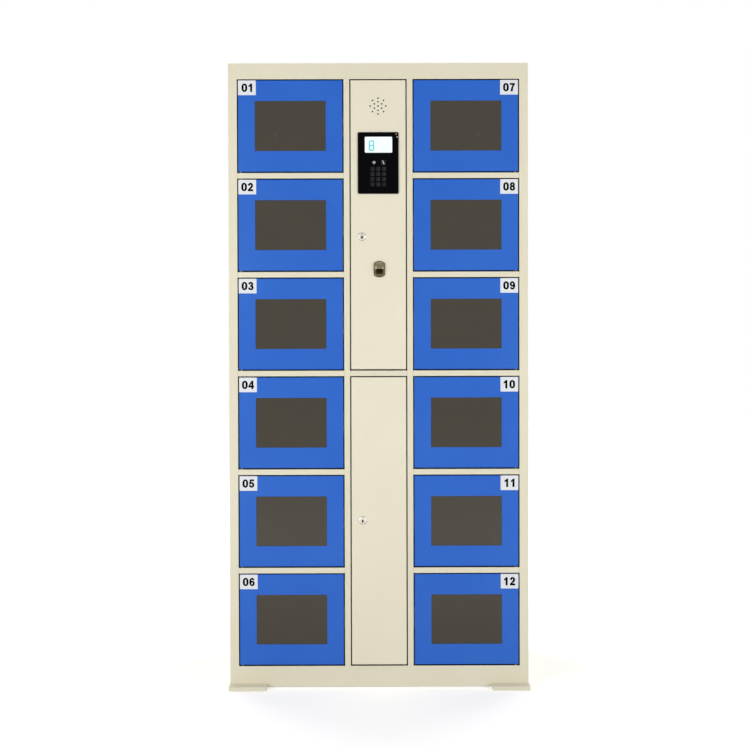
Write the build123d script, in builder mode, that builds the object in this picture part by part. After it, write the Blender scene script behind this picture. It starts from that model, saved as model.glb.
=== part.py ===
from build123d import *
import os

# Smart locker: a folded-steel cabinet with twelve window doors in two columns and a service
# column between them behind two tall doors. Millimetres. X runs to the right and Y into the
# cabinet, both seen from its front, and Z runs up from the floor. The origin is on the floor,
# under the middle of the overall box.

# Cabinet
width = 900
depth = 420
sheet = 1.0
fold_radius = 0.9
square_fold = 0
rows = 6
row_opening = 280.5
rail = 16.5
fascia = 48
plinth = 62.5
outer_stile = 26.5
inner_stile = 17.5
centre_opening = 172
stile_return = 20
rail_return = 15
fascia_return = 25
plinth_return = 25
side_flange = 20
wall_flange = 12
roof_flange = 20
corner_notch = 2
panel_clearance = 0.5

# Small rounds that repeat, and larger ones behind the doors, are drawn with flat sides, which
# keeps their many copies light.
small_sides = 12
round_sides = 24

# Feet
foot_sheet = 2
foot_width = 112
foot_height = 12.5
foot_reach = 36
foot_rear_inset = 30

# Doors
door_depth = 18
door_hem = 12
side_gap = 3.5
top_gap = 3.5
bottom_gap = 4
window_width = 213
window_height = 150

# Window panes and the frames that hold them
pane_thickness = 3
pane_lap = 10
pane_clearance = 0.3
retainer_edge = 6
retainer_sheet = 1.5

# Hinge pins
pin_inset = 11
pin_setback = 5.5
pin_radius = 2.5
pin_clearance = 0.08
pin_reach = 8
shoulder_radius = 4
seat_clearance = 0.3

# Strikes and electric locks
strike_thickness = 2
strike_height = 22
strike_reach = 26
strike_eye = 10
strike_foot_width = 7
strike_foot_height = 46
strike_foot_thickness = 2
lock_thickness = 15
lock_height = 62
lock_depth = 76
lock_gap = 3
lock_chamfer = 1.5
lock_plate = 1.5
lock_plate_height = 88
lock_plate_depth = 60
mouth_width = 8
mouth_shift = 1
mouth_margin = 2.5

# Cam locks
cam_lock_inset = 36.8
upper_cam_lock_drop = 472
lower_cam_lock_drop = 435
lock_flange_radius = 12.4
lock_flange = 2.6
lock_flange_bevel = 1
barrel_radius = 9.5
barrel_flats = 16.5
nut_across = 24
nut_thickness = 4
thread_clearance = 0.1
plug_radius = 7
plug_clearance = 0.1
plug_recess = 0.4
keyway_width = 2.4
keyway_height = 7
keyway_depth = 9
keyway_drop = 1.5
tang = 7
tang_length = 4.5
cam_clearance = 1.3
cam_thickness = 2.5
cam_width = 15
cam_reach = 44
cam_corner = 4
end_play = 0.3

# Speaker and its grille
speaker_drop = 80.8
grille_hole = 5
grille_ring = 12.8
grille_ring_count = 6
grille_outer_ring = 23.5
grille_outer_count = 8
speaker_size = 66
speaker_frame = 2
recess_radius = 28
recess_depth = 8
basket_radius = 31
basket_depth = 13
magnet_radius = 18
magnet_depth = 20

# Terminal
terminal_drop = 252
terminal_width = 123
terminal_height = 185
terminal_proud = 3
terminal_corner = 5
terminal_rim = 1.4
terminal_lap = 7
terminal_body_depth = 27
glass_thickness = 1.6
glass_clearance = 0.15
connector_width = 60
connector_height = 14
connector_depth = 6
connector_drop = 40

# Fingerprint reader
reader_drop = 570
reader_x = 3
reader_radius = 24.8
reader_width = 34.6
reader_flange = 2.2
reader_body_radius = 14
reader_body_depth = 20
hood_radius = 20.5
hood_width = 28
hood_reach = 10
hood_mouth = 13
hood_floor = 2.4
sensor_thickness = 0.8
sensor_clearance = 0.1
sensor_width = 19
cheek = 3.2

# Back panel
fixing_radius = 4.5
fixing_span = 700
fixing_drop = 70
vent_width = 90
vent_height = 5
vent_pitch = 14
vent_count = 10
vent_drop = 330
inlet_flange = 2
inlet_flange_width = 50
inlet_flange_height = 27.5
inlet_body_width = 27.5
inlet_body_height = 20
inlet_body_depth = 26
inlet_socket_width = 24.5
inlet_socket_height = 17
inlet_socket_depth = 17
inlet_socket_chamfer = 4
inlet_blade_width = 2
inlet_blade_height = 4
inlet_blade_length = 14
inlet_blade_spread = 7
inlet_blade_rise = 3
inlet_rise = 70
inlet_clearance = 0.3

# Control gear in the upper part of the column
supply_width = 98
supply_height = 160
supply_depth = 38
supply_rise = 120
supply_slot_count = 7
supply_slot_height = 3
supply_slot_width = 70
supply_slot_depth = 1.5
supply_terminal_height = 14
supply_terminal_depth = 12
board_width = 150
board_height = 190
board_thickness = 1.6
board_above_supply = 30
post_radius = 3
post_height = 10
post_inset = 7
relay_width = 15.5
relay_height = 19
relay_depth = 15
relay_columns = 4
relay_pitch = 26
relay_rise = 114
header_width = 110
header_height = 9
header_depth = 11
header_inset = 19
processor_size = 24
processor_depth = 2.4
processor_rise = 48

# Places worked out from the sizes above
half = sheet / 2
side_x = width / 2
outer_x = side_x - outer_stile
column_x = centre_opening / 2
inner_x = column_x + inner_stile
inlet_proud = inlet_flange - sheet
front = (foot_reach - depth - inlet_proud) / 2
rear = front + depth
back_front = rear - 2 * sheet
pitch = row_opening + rail
plinth_top = foot_sheet + plinth
fascia_bottom = plinth_top + rows * pitch - rail
height = fascia_bottom + fascia
roof_under = height - sheet
split_rows = rows // 2
split_top = plinth_top + (rows - split_rows) * pitch
pin_y = front + pin_setback
door_back = front + door_depth
hinge_x = outer_x - pin_inset
centre_hinge_x = column_x - pin_inset
strike_x = inner_x + lock_thickness / 2
cam_lock_x = cam_lock_inset - column_x
cam_y = front + stile_return + cam_clearance
supply_bottom = split_top + supply_rise
board_bottom = supply_bottom + supply_height + board_above_supply


def facing(y):
    """Return the plane at depth y whose sketches are seen from the front, X right and Z up."""
    return Plane.XZ.offset(-y)


def row_bottom(row):
    """Return the height of the lower edge of a row's opening, counting rows from the top."""
    return plinth_top + (rows - 1 - row) * pitch


def save(piece, label):
    """Label one finished piece and write it under its own name."""
    piece.part.label = label
    export_step(piece.part, f"parts/{label}.step")


def side_panel(hand):
    """Fold a side: outer wall, front stile with its return, and the flange behind the back."""
    stile_x = hand * (outer_x + half)
    wall_x = hand * (side_x - half)
    with BuildPart() as side:
        with BuildSketch(Plane.XY.offset(foot_sheet)):
            with BuildLine():
                FilletPolyline(
                    (stile_x, front + stile_return),
                    (stile_x, front + half),
                    (wall_x, front + half),
                    (wall_x, rear - half),
                    (hand * (side_x - side_flange), rear - half),
                    radius=fold_radius,
                )
            trace(line_width=sheet)
        extrude(amount=roof_under - foot_sheet)
        # The return stops at the fascia and at the plinth, which butt against the stile there.
        for low, high in ((foot_sheet, plinth_top), (fascia_bottom, roof_under)):
            with BuildSketch(Plane.XY.offset(low)):
                with Locations((hand * outer_x, front)):
                    Rectangle(2 * corner_notch, 2 * (stile_return + corner_notch))
            extrude(amount=high - low, mode=Mode.SUBTRACT)
    return side


def column_wall(hand):
    """Fold a wall between the compartments and the service column, with its front stile."""
    stile_x = hand * (column_x + half)
    wall_x = hand * (inner_x - half)
    with BuildPart() as wall:
        with BuildSketch(Plane.XY.offset(plinth_top)):
            with BuildLine():
                FilletPolyline(
                    (stile_x, front + stile_return),
                    (stile_x, front + half),
                    (wall_x, front + half),
                    (wall_x, back_front - half),
                    (wall_x - hand * wall_flange, back_front - half),
                    radius=[fold_radius, fold_radius, square_fold],
                )
            trace(line_width=sheet)
        extrude(amount=roof_under - plinth_top)
        # The fascia and its return pass in front of the wall's top.
        with BuildSketch(Plane.XY.offset(fascia_bottom)):
            with Locations((hand * (column_x + inner_x) / 2, front)):
                Rectangle(inner_stile + 2 * corner_notch, 2 * fascia_return)
        extrude(amount=fascia, mode=Mode.SUBTRACT)
    return wall


def base_panel():
    """Fold the base: plinth, floor of the bottom row and rear skirt, with turned-in edges."""
    with BuildPart() as base:
        with BuildSketch(Plane.YZ):
            with BuildLine():
                FilletPolyline(
                    (front + plinth_return, foot_sheet + half),
                    (front + half, foot_sheet + half),
                    (front + half, plinth_top - half),
                    (rear - half, plinth_top - half),
                    (rear - half, foot_sheet + half),
                    (rear - plinth_return, foot_sheet + half),
                    radius=[fold_radius, fold_radius, square_fold, square_fold],
                )
            trace(line_width=sheet)
        extrude(amount=side_x - sheet, both=True)
        # Corner notches clear the side panels' stiles and rear flanges.
        with BuildSketch(Plane.XY.offset(foot_sheet)):
            with Locations((-side_x, front), (side_x, front)):
                Rectangle(2 * (outer_stile - corner_notch), 2 * (stile_return + corner_notch))
            with Locations((-side_x, rear), (side_x, rear)):
                Rectangle(2 * side_flange, 2 * corner_notch)
        extrude(amount=plinth, mode=Mode.SUBTRACT)
    return base


def top_panel():
    """Fold the roof with its fascia over the doors and the flange that closes the back."""
    middle = (front + rear) / 2
    with BuildPart() as roof:
        with BuildSketch(Plane.YZ):
            with BuildLine():
                FilletPolyline(
                    (front + fascia_return, fascia_bottom + half),
                    (front + half, fascia_bottom + half),
                    (front + half, height - half),
                    (rear - half, height - half),
                    (rear - half, height - roof_flange),
                    radius=fold_radius,
                )
            trace(line_width=sheet)
        extrude(amount=side_x, both=True)
        # Only the flat roof runs out over the side panels.
        with BuildSketch(Plane.XY.offset(fascia_bottom)):
            with Locations((-side_x, front), (side_x, front)):
                Rectangle(2 * (outer_stile - corner_notch), 2 * (middle - front))
            with Locations((-side_x, rear), (side_x, rear)):
                Rectangle(2 * side_flange, 2 * (rear - middle))
        extrude(amount=roof_under - fascia_bottom, mode=Mode.SUBTRACT)
    return roof


def back_panel():
    """Cut the back: wall-fixing holes, vents behind the control gear and the inlet's opening."""
    low = plinth_top
    high = roof_under - panel_clearance
    with BuildPart() as back:
        with BuildSketch(facing(rear - sheet)):
            with Locations((0, (low + high) / 2)):
                Rectangle(width - 2 * (sheet + panel_clearance), high - low)
        extrude(amount=sheet)
        with BuildSketch(facing(rear - sheet)):
            with Locations((0, fascia_bottom - fixing_drop)):
                with GridLocations(fixing_span, 1, 2, 1):
                    Circle(fixing_radius)
            with Locations((0, fascia_bottom - vent_drop)):
                with GridLocations(vent_width, vent_pitch, 1, vent_count):
                    Rectangle(vent_width, vent_height)
            with Locations((0, plinth_top + inlet_rise)):
                Rectangle(
                    inlet_body_width + 2 * inlet_clearance,
                    inlet_body_height + 2 * inlet_clearance,
                )
        extrude(amount=sheet, mode=Mode.SUBTRACT)
    return back


def shelf_blank(start, end, level):
    """Fold a shelf between two walls: flat shelf, rail between the doors and its return."""
    with BuildPart() as blank:
        with BuildSketch(Plane.YZ.offset(start)):
            with BuildLine():
                FilletPolyline(
                    (front + rail_return, level - rail + half),
                    (front + half, level - rail + half),
                    (front + half, level - half),
                    (back_front, level - half),
                    radius=[square_fold, fold_radius],
                )
            trace(line_width=sheet)
        extrude(amount=end - start)
    return blank


def shelves():
    """Lay a shelf under every row but the lowest on each side, and one across the column."""
    ear = side_x - sheet - outer_x
    blanks = []
    for row in range(rows - 1):
        for start, end in ((-side_x + sheet, -inner_x), (inner_x, side_x - sheet)):
            blanks.append(shelf_blank(start, end, row_bottom(row)))
    column_shelf = shelf_blank(-inner_x + sheet, inner_x - sheet, split_top)
    with BuildPart() as shelf_set:
        for blank in blanks:
            add(blank.part)
        # Each shelf is notched around the outer stile's return.
        with BuildSketch(Plane.XY.offset(plinth_top)):
            with Locations((-side_x + sheet, front), (side_x - sheet, front)):
                Rectangle(2 * ear, 2 * (stile_return + panel_clearance))
        extrude(amount=rows * pitch, mode=Mode.SUBTRACT)
    notch_x = (column_x + inner_x - sheet) / 2
    notch_width = inner_x - sheet - column_x
    with BuildPart() as column_set:
        add(column_shelf.part)
        # The column's shelf is notched around both inner stiles and both wall flanges.
        with BuildSketch(Plane.XY.offset(split_top - rail)):
            with Locations((-notch_x, front), (notch_x, front)):
                Rectangle(notch_width, 2 * (stile_return + panel_clearance))
            with Locations((-inner_x, back_front), (inner_x, back_front)):
                Rectangle(2 * (wall_flange + sheet), 2 * (sheet + panel_clearance))
        extrude(amount=rail, mode=Mode.SUBTRACT)
    with BuildPart() as shelf_group:
        add(shelf_set.part)
        add(column_set.part)
    return shelf_group


def feet():
    """Fold the two feet: a plate under each side that turns up into a closed toe in front."""
    toe = front - foot_reach
    foot_half = foot_sheet / 2
    with BuildPart() as foot_pair:
        for outer_end in (-side_x, side_x - foot_width):
            with BuildSketch(Plane.YZ.offset(outer_end)):
                with BuildLine():
                    FilletPolyline(
                        (rear - foot_rear_inset, foot_half),
                        (toe + foot_half, foot_half),
                        (toe + foot_half, foot_height - foot_half),
                        (front, foot_height - foot_half),
                        radius=[square_fold, foot_sheet],
                    )
                trace(line_width=foot_sheet)
            extrude(amount=foot_width)
            for cheek_start in (outer_end, outer_end + foot_width - foot_sheet):
                with BuildSketch(Plane.YZ.offset(cheek_start)):
                    with Locations(((toe + foot_sheet + front) / 2, foot_height / 2)):
                        Rectangle(foot_reach - foot_sheet, foot_height - foot_sheet)
                extrude(amount=foot_sheet)
    return foot_pair


def door_blank(left, right, bottom, top, pin_x):
    """Fold a door: a tray with a turned-in rear hem and a pin hole in each end flange."""
    middle = ((left + right) / 2, (bottom + top) / 2)
    door_width = right - left
    door_height = top - bottom
    with BuildPart() as blank:
        with BuildSketch(facing(door_back)):
            with Locations(middle):
                Rectangle(door_width, door_height)
        extrude(amount=door_depth)
        front_face = blank.faces().sort_by(Axis.Y)[0]
        fillet(front_face.edges(), radius=fold_radius + half)
        with BuildSketch(facing(door_back - sheet)):
            with Locations(middle):
                Rectangle(door_width - 2 * sheet, door_height - 2 * sheet)
        extrude(amount=door_depth - 2 * sheet, mode=Mode.SUBTRACT)
        with BuildSketch(facing(door_back)):
            with Locations(middle):
                Rectangle(door_width - 2 * door_hem, door_height - 2 * door_hem)
        extrude(amount=sheet, mode=Mode.SUBTRACT)
        with BuildSketch(Plane.XY.offset(bottom)):
            with Locations((pin_x, pin_y)):
                RegularPolygon(pin_radius + pin_clearance, small_sides, major_radius=False)
        extrude(amount=door_height, mode=Mode.SUBTRACT)
    return blank


def window_door(hand, row):
    """Cut the window into one compartment door."""
    bottom = row_bottom(row) + bottom_gap
    top = row_bottom(row) + row_opening - top_gap
    edges = sorted((hand * (outer_x - side_gap), hand * (inner_x + side_gap)))
    blank = door_blank(edges[0], edges[1], bottom, top, hand * hinge_x)
    with BuildPart() as door:
        add(blank.part)
        with BuildSketch(facing(front)):
            with Locations((sum(edges) / 2, (bottom + top) / 2)):
                Rectangle(window_width, window_height)
        extrude(amount=-sheet, mode=Mode.SUBTRACT)
    return door


def window_middle(hand, row):
    """Return where the middle of one door's window lies, across and up."""
    rise = (bottom_gap + row_opening - top_gap) / 2
    return (hand * (outer_x + inner_x) / 2, row_bottom(row) + rise)


def window_pane(hand, row):
    """Lay the tinted pane behind one door's window, lapping its edge all round."""
    with BuildPart() as pane:
        with BuildSketch(facing(front + sheet)):
            with Locations(window_middle(hand, row)):
                Rectangle(window_width + 2 * pane_lap, window_height + 2 * pane_lap)
        extrude(amount=-pane_thickness)
    return pane


def door_fittings(hand, row):
    """Make one door's inner fittings: the frame that holds the pane, and the lock's strike."""
    middle = window_middle(hand, row)
    pocket_width = window_width + 2 * (pane_lap + pane_clearance)
    pocket_height = window_height + 2 * (pane_lap + pane_clearance)
    with BuildPart() as fittings:
        with BuildSketch(facing(front + sheet)):
            with Locations(middle):
                Rectangle(pocket_width + 2 * retainer_edge, pocket_height + 2 * retainer_edge)
        extrude(amount=-(pane_thickness + retainer_sheet))
        with BuildSketch(facing(front + sheet)):
            with Locations(middle):
                Rectangle(pocket_width, pocket_height)
        extrude(amount=-pane_thickness, mode=Mode.SUBTRACT)
        with BuildSketch(facing(front + sheet)):
            with Locations(middle):
                Rectangle(window_width, window_height)
        extrude(amount=-(pane_thickness + retainer_sheet), mode=Mode.SUBTRACT)
        with BuildSketch(facing(door_back)):
            with Locations((hand * strike_x, middle[1])):
                Rectangle(strike_foot_width, strike_foot_height)
        extrude(amount=-strike_foot_thickness)
        with BuildSketch(facing(door_back + strike_foot_thickness)):
            with Locations((hand * strike_x, middle[1])):
                Rectangle(strike_thickness, strike_height)
        extrude(amount=-strike_reach)
        # The latch catches the strike through a square eye near its tip.
        with BuildSketch(Plane.YZ.offset(hand * strike_x)):
            with Locations((door_back + strike_reach - strike_eye / 2, middle[1])):
                Rectangle(strike_eye, strike_eye)
        extrude(amount=strike_thickness, both=True, mode=Mode.SUBTRACT)
    return fittings


def electric_lock(hand, row):
    """Make one sealed electric lock: housing on a mounting plate, with a mouth for the strike."""
    level = window_middle(hand, row)[1]
    lock_front = door_back + lock_gap
    wall_x = hand * inner_x
    with BuildPart() as lock:
        with BuildSketch(Plane.YZ.offset(wall_x)):
            with Locations((lock_front + lock_depth / 2, level)):
                Rectangle(lock_depth, lock_height)
        extrude(amount=hand * lock_thickness)
        outer_face = lock.faces().sort_by(Axis.X)[-1 if hand > 0 else 0]
        chamfer(outer_face.edges(), length=lock_chamfer)
        with BuildSketch(Plane.YZ.offset(wall_x)):
            with Locations((lock_front + lock_plate_depth / 2, level)):
                Rectangle(lock_plate_depth, lock_plate_height)
        extrude(amount=hand * lock_plate)
        with BuildSketch(facing(lock_front)):
            with Locations((hand * (strike_x - mouth_shift), level)):
                Rectangle(mouth_width, strike_height + 2 * mouth_margin)
        extrude(amount=-(strike_reach + mouth_margin), mode=Mode.SUBTRACT)
    return lock


def electric_locks():
    """Gather the twelve electric locks."""
    locks = [electric_lock(hand, row) for hand in (-1, 1) for row in range(rows)]
    with BuildPart() as lock_group:
        for lock in locks:
            add(lock.part)
    return lock_group


def hinge_pins():
    """Weld a shouldered pin under each door, and a plain one above it."""
    spans = [(row_bottom(row), row_opening) for row in range(rows)]
    columns = [(-hinge_x, spans), (hinge_x, spans)]
    upper = (split_top, fascia_bottom - split_top)
    lower = (plinth_top, split_top - rail - plinth_top)
    columns.append((centre_hinge_x, [upper, lower]))
    with BuildPart() as pins:
        for x, openings in columns:
            for bottom, opening in openings:
                lengths = (
                    (bottom, pin_radius, bottom_gap + pin_reach),
                    (bottom, shoulder_radius, bottom_gap - seat_clearance),
                    (bottom + opening, pin_radius, -top_gap - pin_reach),
                )
                for start, radius, length in lengths:
                    with BuildSketch(Plane.XY.offset(start)):
                        with Locations((x, pin_y)):
                            RegularPolygon(radius, small_sides)
                    extrude(amount=length)
    return pins


def tall_door_blank(bottom, top):
    """Fold the blank of a door that covers the service column between two levels."""
    return door_blank(
        -column_x + side_gap,
        column_x - side_gap,
        bottom + bottom_gap,
        top - top_gap,
        centre_hinge_x,
    )


def upper_door():
    """Cut the upper service door: speaker grille, terminal, cam lock and fingerprint reader."""
    blank = tall_door_blank(split_top, fascia_bottom)
    with BuildPart() as door:
        add(blank.part)
        with BuildSketch(facing(front)):
            with Locations((0, fascia_bottom - speaker_drop)):
                RegularPolygon(grille_hole / 2, small_sides, major_radius=False)
                with PolarLocations(grille_ring, grille_ring_count, start_angle=90):
                    RegularPolygon(grille_hole / 2, small_sides, major_radius=False)
                with PolarLocations(grille_outer_ring, grille_outer_count):
                    RegularPolygon(grille_hole / 2, small_sides, major_radius=False)
            with Locations((0, fascia_bottom - terminal_drop)):
                Rectangle(
                    terminal_width - 2 * (terminal_lap - panel_clearance),
                    terminal_height - 2 * (terminal_lap - panel_clearance),
                )
            with Locations((reader_x, fascia_bottom - reader_drop)):
                reader_hole = reader_body_radius + panel_clearance
                RegularPolygon(reader_hole, round_sides, major_radius=False)
        extrude(amount=-sheet, mode=Mode.SUBTRACT)
        lock_hole(fascia_bottom - upper_cam_lock_drop)
    return door


def lower_door():
    """Cut the lower service door, which carries only its cam lock."""
    opening_top = split_top - rail
    blank = tall_door_blank(plinth_top, opening_top)
    with BuildPart() as door:
        add(blank.part)
        lock_hole(opening_top - lower_cam_lock_drop)
    return door


def lock_hole(level):
    """Cut the hole with two flats that keeps a cam lock from turning in the door."""
    with BuildSketch(facing(front)) as hole:
        with Locations((cam_lock_x, level)):
            RegularPolygon(barrel_radius + thread_clearance, round_sides, major_radius=False)
            Rectangle(
                2 * (barrel_radius + thread_clearance),
                barrel_flats + 2 * thread_clearance,
                mode=Mode.INTERSECT,
            )
    extrude(hole.sketch, amount=-sheet, mode=Mode.SUBTRACT)


def lock_barrel(level):
    """Make a cam lock's barrel: bevelled flange outside, flatted body inside, and its nut."""
    middle = (cam_lock_x, level)
    with BuildPart() as barrel:
        with BuildSketch(facing(front)):
            with Locations(middle):
                RegularPolygon(lock_flange_radius, round_sides)
        extrude(amount=lock_flange)
        rim = barrel.faces().sort_by(Axis.Y)[0].edges()
        chamfer(rim, length=lock_flange_bevel)
        with BuildSketch(facing(cam_y - end_play)):
            with Locations(middle):
                RegularPolygon(barrel_radius, round_sides)
                Rectangle(2 * barrel_radius, barrel_flats, mode=Mode.INTERSECT)
        extrude(amount=cam_y - end_play - front)
        with BuildSketch(facing(cam_y)):
            with Locations(middle):
                RegularPolygon(plug_radius + plug_clearance, round_sides, major_radius=False)
        extrude(amount=cam_y - front + lock_flange, mode=Mode.SUBTRACT)
    with BuildPart() as nut:
        with BuildSketch(facing(front + sheet)):
            with Locations(middle):
                RegularPolygon(nut_across / 2, 6, major_radius=False)
                nut_bore = barrel_radius + thread_clearance
                RegularPolygon(nut_bore, round_sides, major_radius=False, mode=Mode.SUBTRACT)
        extrude(amount=-nut_thickness)
    with BuildPart() as group:
        add(barrel.part)
        add(nut.part)
    return group


def lock_cam(level):
    """Make what turns in a cam lock: the plug with its keyway, and the cam on its tang."""
    middle = (cam_lock_x, level)
    face = front - lock_flange + plug_recess
    with BuildPart() as plug:
        with BuildSketch(facing(cam_y)):
            with Locations(middle):
                RegularPolygon(plug_radius, round_sides)
        extrude(amount=cam_y - face)
        with BuildSketch(facing(cam_y)):
            with Locations(middle):
                Rectangle(tang, tang)
        extrude(amount=-tang_length)
        with BuildSketch(facing(face)):
            with Locations((cam_lock_x, level - keyway_drop)):
                Rectangle(keyway_width, keyway_height)
        extrude(amount=-keyway_depth, mode=Mode.SUBTRACT)
    with BuildPart() as cam:
        with BuildSketch(facing(cam_y + plug_clearance)) as outline:
            with Locations(middle):
                RegularPolygon(cam_width / 2, round_sides)
            with Locations((cam_lock_x, level - cam_reach / 2)):
                Rectangle(cam_width, cam_reach)
            chamfer(outline.vertices().group_by(Axis.Y)[0], length=cam_corner)
            with Locations(middle):
                eye = tang + 2 * plug_clearance
                Rectangle(eye, eye, mode=Mode.SUBTRACT)
        extrude(amount=-cam_thickness)
    with BuildPart() as group:
        add(plug.part)
        add(cam.part)
    return group


def speaker():
    """Build the speaker behind the grille: square frame, recess, basket and magnet."""
    seat = front + sheet
    frame_back = seat + speaker_frame
    middle = (0, fascia_bottom - speaker_drop)
    with BuildPart() as driver:
        with BuildSketch(facing(frame_back)):
            with Locations(middle):
                Rectangle(speaker_size, speaker_size)
        extrude(amount=speaker_frame)
        with BuildSketch(facing(frame_back)):
            with Locations(middle):
                RegularPolygon(basket_radius, round_sides)
        extrude(amount=-basket_depth)
        with BuildSketch(facing(frame_back)):
            with Locations(middle):
                RegularPolygon(magnet_radius, round_sides)
        extrude(amount=-magnet_depth)
        with BuildSketch(facing(seat)):
            with Locations(middle):
                RegularPolygon(recess_radius, round_sides)
        extrude(amount=-recess_depth, mode=Mode.SUBTRACT)
    return driver


def terminal_housing():
    """Mould the terminal: a rimmed front on the door, and the body that passes through it."""
    middle = (0, fascia_bottom - terminal_drop)
    body_width = terminal_width - 2 * terminal_lap
    body_height = terminal_height - 2 * terminal_lap
    with BuildPart() as housing:
        with BuildSketch(facing(front)):
            with Locations(middle):
                RectangleRounded(terminal_width, terminal_height, terminal_corner)
        extrude(amount=terminal_proud)
        with BuildSketch(facing(front)):
            with Locations(middle):
                Rectangle(body_width, body_height)
        extrude(amount=-terminal_body_depth)
        with BuildSketch(facing(front - terminal_proud)):
            with Locations(middle):
                RectangleRounded(
                    terminal_width - 2 * terminal_rim,
                    terminal_height - 2 * terminal_rim,
                    terminal_corner - terminal_rim,
                )
        extrude(amount=-glass_thickness, mode=Mode.SUBTRACT)
        with BuildSketch(facing(front + terminal_body_depth)):
            with Locations((0, middle[1] - connector_drop)):
                Rectangle(connector_width, connector_height)
        extrude(amount=connector_depth, mode=Mode.SUBTRACT)
    return housing


def terminal_glass():
    """Cut the glass that fills the terminal's rim, flush with it."""
    edge = terminal_rim + glass_clearance
    with BuildPart() as glass:
        with BuildSketch(facing(front - terminal_proud + glass_thickness)):
            with Locations((0, fascia_bottom - terminal_drop)):
                RectangleRounded(
                    terminal_width - 2 * edge,
                    terminal_height - 2 * edge,
                    terminal_corner - edge,
                )
        extrude(amount=glass_thickness)
    return glass


def fingerprint_reader():
    """Form the reader: a flatted round flange and a hood over the slot where the finger lies."""
    level = fascia_bottom - reader_drop
    middle = (reader_x, level)
    seat = front - reader_flange
    floor = seat - hood_floor
    nose = seat - hood_reach
    with BuildPart() as reader:
        with BuildSketch(facing(front)):
            with Locations(middle):
                Circle(reader_radius)
                Rectangle(reader_width, 2 * reader_radius, mode=Mode.INTERSECT)
        extrude(amount=reader_flange)
        with BuildSketch(facing(front)):
            with Locations(middle):
                RegularPolygon(reader_body_radius, round_sides)
        extrude(amount=-reader_body_depth)
        with BuildSketch(facing(seat)):
            with Locations(middle):
                Circle(hood_radius)
                Rectangle(hood_width, 2 * hood_radius, mode=Mode.INTERSECT)
        extrude(amount=hood_reach)
        # The hood slopes up to the flange, and the block below it slopes away as a chin.
        with BuildSketch(Plane.YZ.offset(reader_x - hood_width / 2)):
            with BuildLine():
                Polyline(
                    (nose, level + hood_radius),
                    (seat - sheet, level + hood_radius),
                    (nose, level + hood_radius / 3),
                    close=True,
                )
            make_face()
            with BuildLine():
                Polyline(
                    (nose, level),
                    (nose, level - hood_radius),
                    (seat - sheet, level - hood_radius),
                    (floor - sheet, level - hood_mouth),
                    close=True,
                )
            make_face()
        extrude(amount=hood_width, mode=Mode.SUBTRACT)
        # The finger's slot runs under the hood between two cheeks, with the sensor on its floor.
        with BuildSketch(facing(nose)):
            with Locations((reader_x, level - hood_mouth / 2)):
                Rectangle(hood_width - 2 * cheek, hood_mouth)
        pocket_depth = sensor_thickness + sensor_clearance
        extrude(amount=-(hood_reach - hood_floor + pocket_depth), mode=Mode.SUBTRACT)
    with BuildPart() as sensor:
        with BuildSketch(facing(floor + sensor_thickness)):
            with Locations((reader_x, level - hood_mouth / 2)):
                Rectangle(sensor_width, hood_mouth - 2 * panel_clearance)
        extrude(amount=sensor_thickness)
    with BuildPart() as group:
        add(reader.part)
        add(sensor.part)
    return group


def power_inlet():
    """Mould the mains inlet: flange outside the back, shaped socket and three blades."""
    level = plinth_top + inlet_rise
    outside = rear - sheet + inlet_flange
    socket_floor = outside - inlet_socket_depth
    with BuildPart() as inlet:
        with BuildSketch(facing(rear - sheet)):
            with Locations((0, level)):
                Rectangle(inlet_flange_width, inlet_flange_height)
        extrude(amount=-inlet_flange)
        with BuildSketch(facing(rear - sheet)):
            with Locations((0, level)):
                Rectangle(inlet_body_width, inlet_body_height)
        extrude(amount=inlet_body_depth)
        with BuildSketch(facing(outside)) as socket:
            with Locations((0, level)):
                Rectangle(inlet_socket_width, inlet_socket_height)
            upper_corners = socket.vertices().group_by(Axis.Y)[-1]
            chamfer(upper_corners, length=inlet_socket_chamfer)
        extrude(amount=inlet_socket_depth, mode=Mode.SUBTRACT)
        with BuildSketch(facing(socket_floor)):
            with Locations(
                (0, level + inlet_blade_rise),
                (-inlet_blade_spread, level - inlet_blade_rise),
                (inlet_blade_spread, level - inlet_blade_rise),
            ):
                Rectangle(inlet_blade_width, inlet_blade_height)
        extrude(amount=-inlet_blade_length)
    return inlet


def power_supply():
    """Make the power supply: a slotted case on the back panel with its terminal strip below."""
    middle_z = supply_bottom + supply_height / 2
    face = back_front - supply_depth
    with BuildPart() as supply:
        with BuildSketch(facing(back_front)):
            with Locations((0, middle_z)):
                Rectangle(supply_width, supply_height)
        extrude(amount=supply_depth)
        with BuildSketch(facing(back_front)):
            with Locations((0, supply_bottom - supply_terminal_height / 2)):
                Rectangle(supply_width, supply_terminal_height)
        extrude(amount=supply_terminal_depth)
        with BuildSketch(facing(face)):
            with Locations((0, middle_z)):
                slot_pitch = supply_height / (supply_slot_count + 1)
                with GridLocations(supply_slot_width, slot_pitch, 1, supply_slot_count):
                    Rectangle(supply_slot_width, supply_slot_height)
        extrude(amount=-supply_slot_depth, mode=Mode.SUBTRACT)
    return supply


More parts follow.
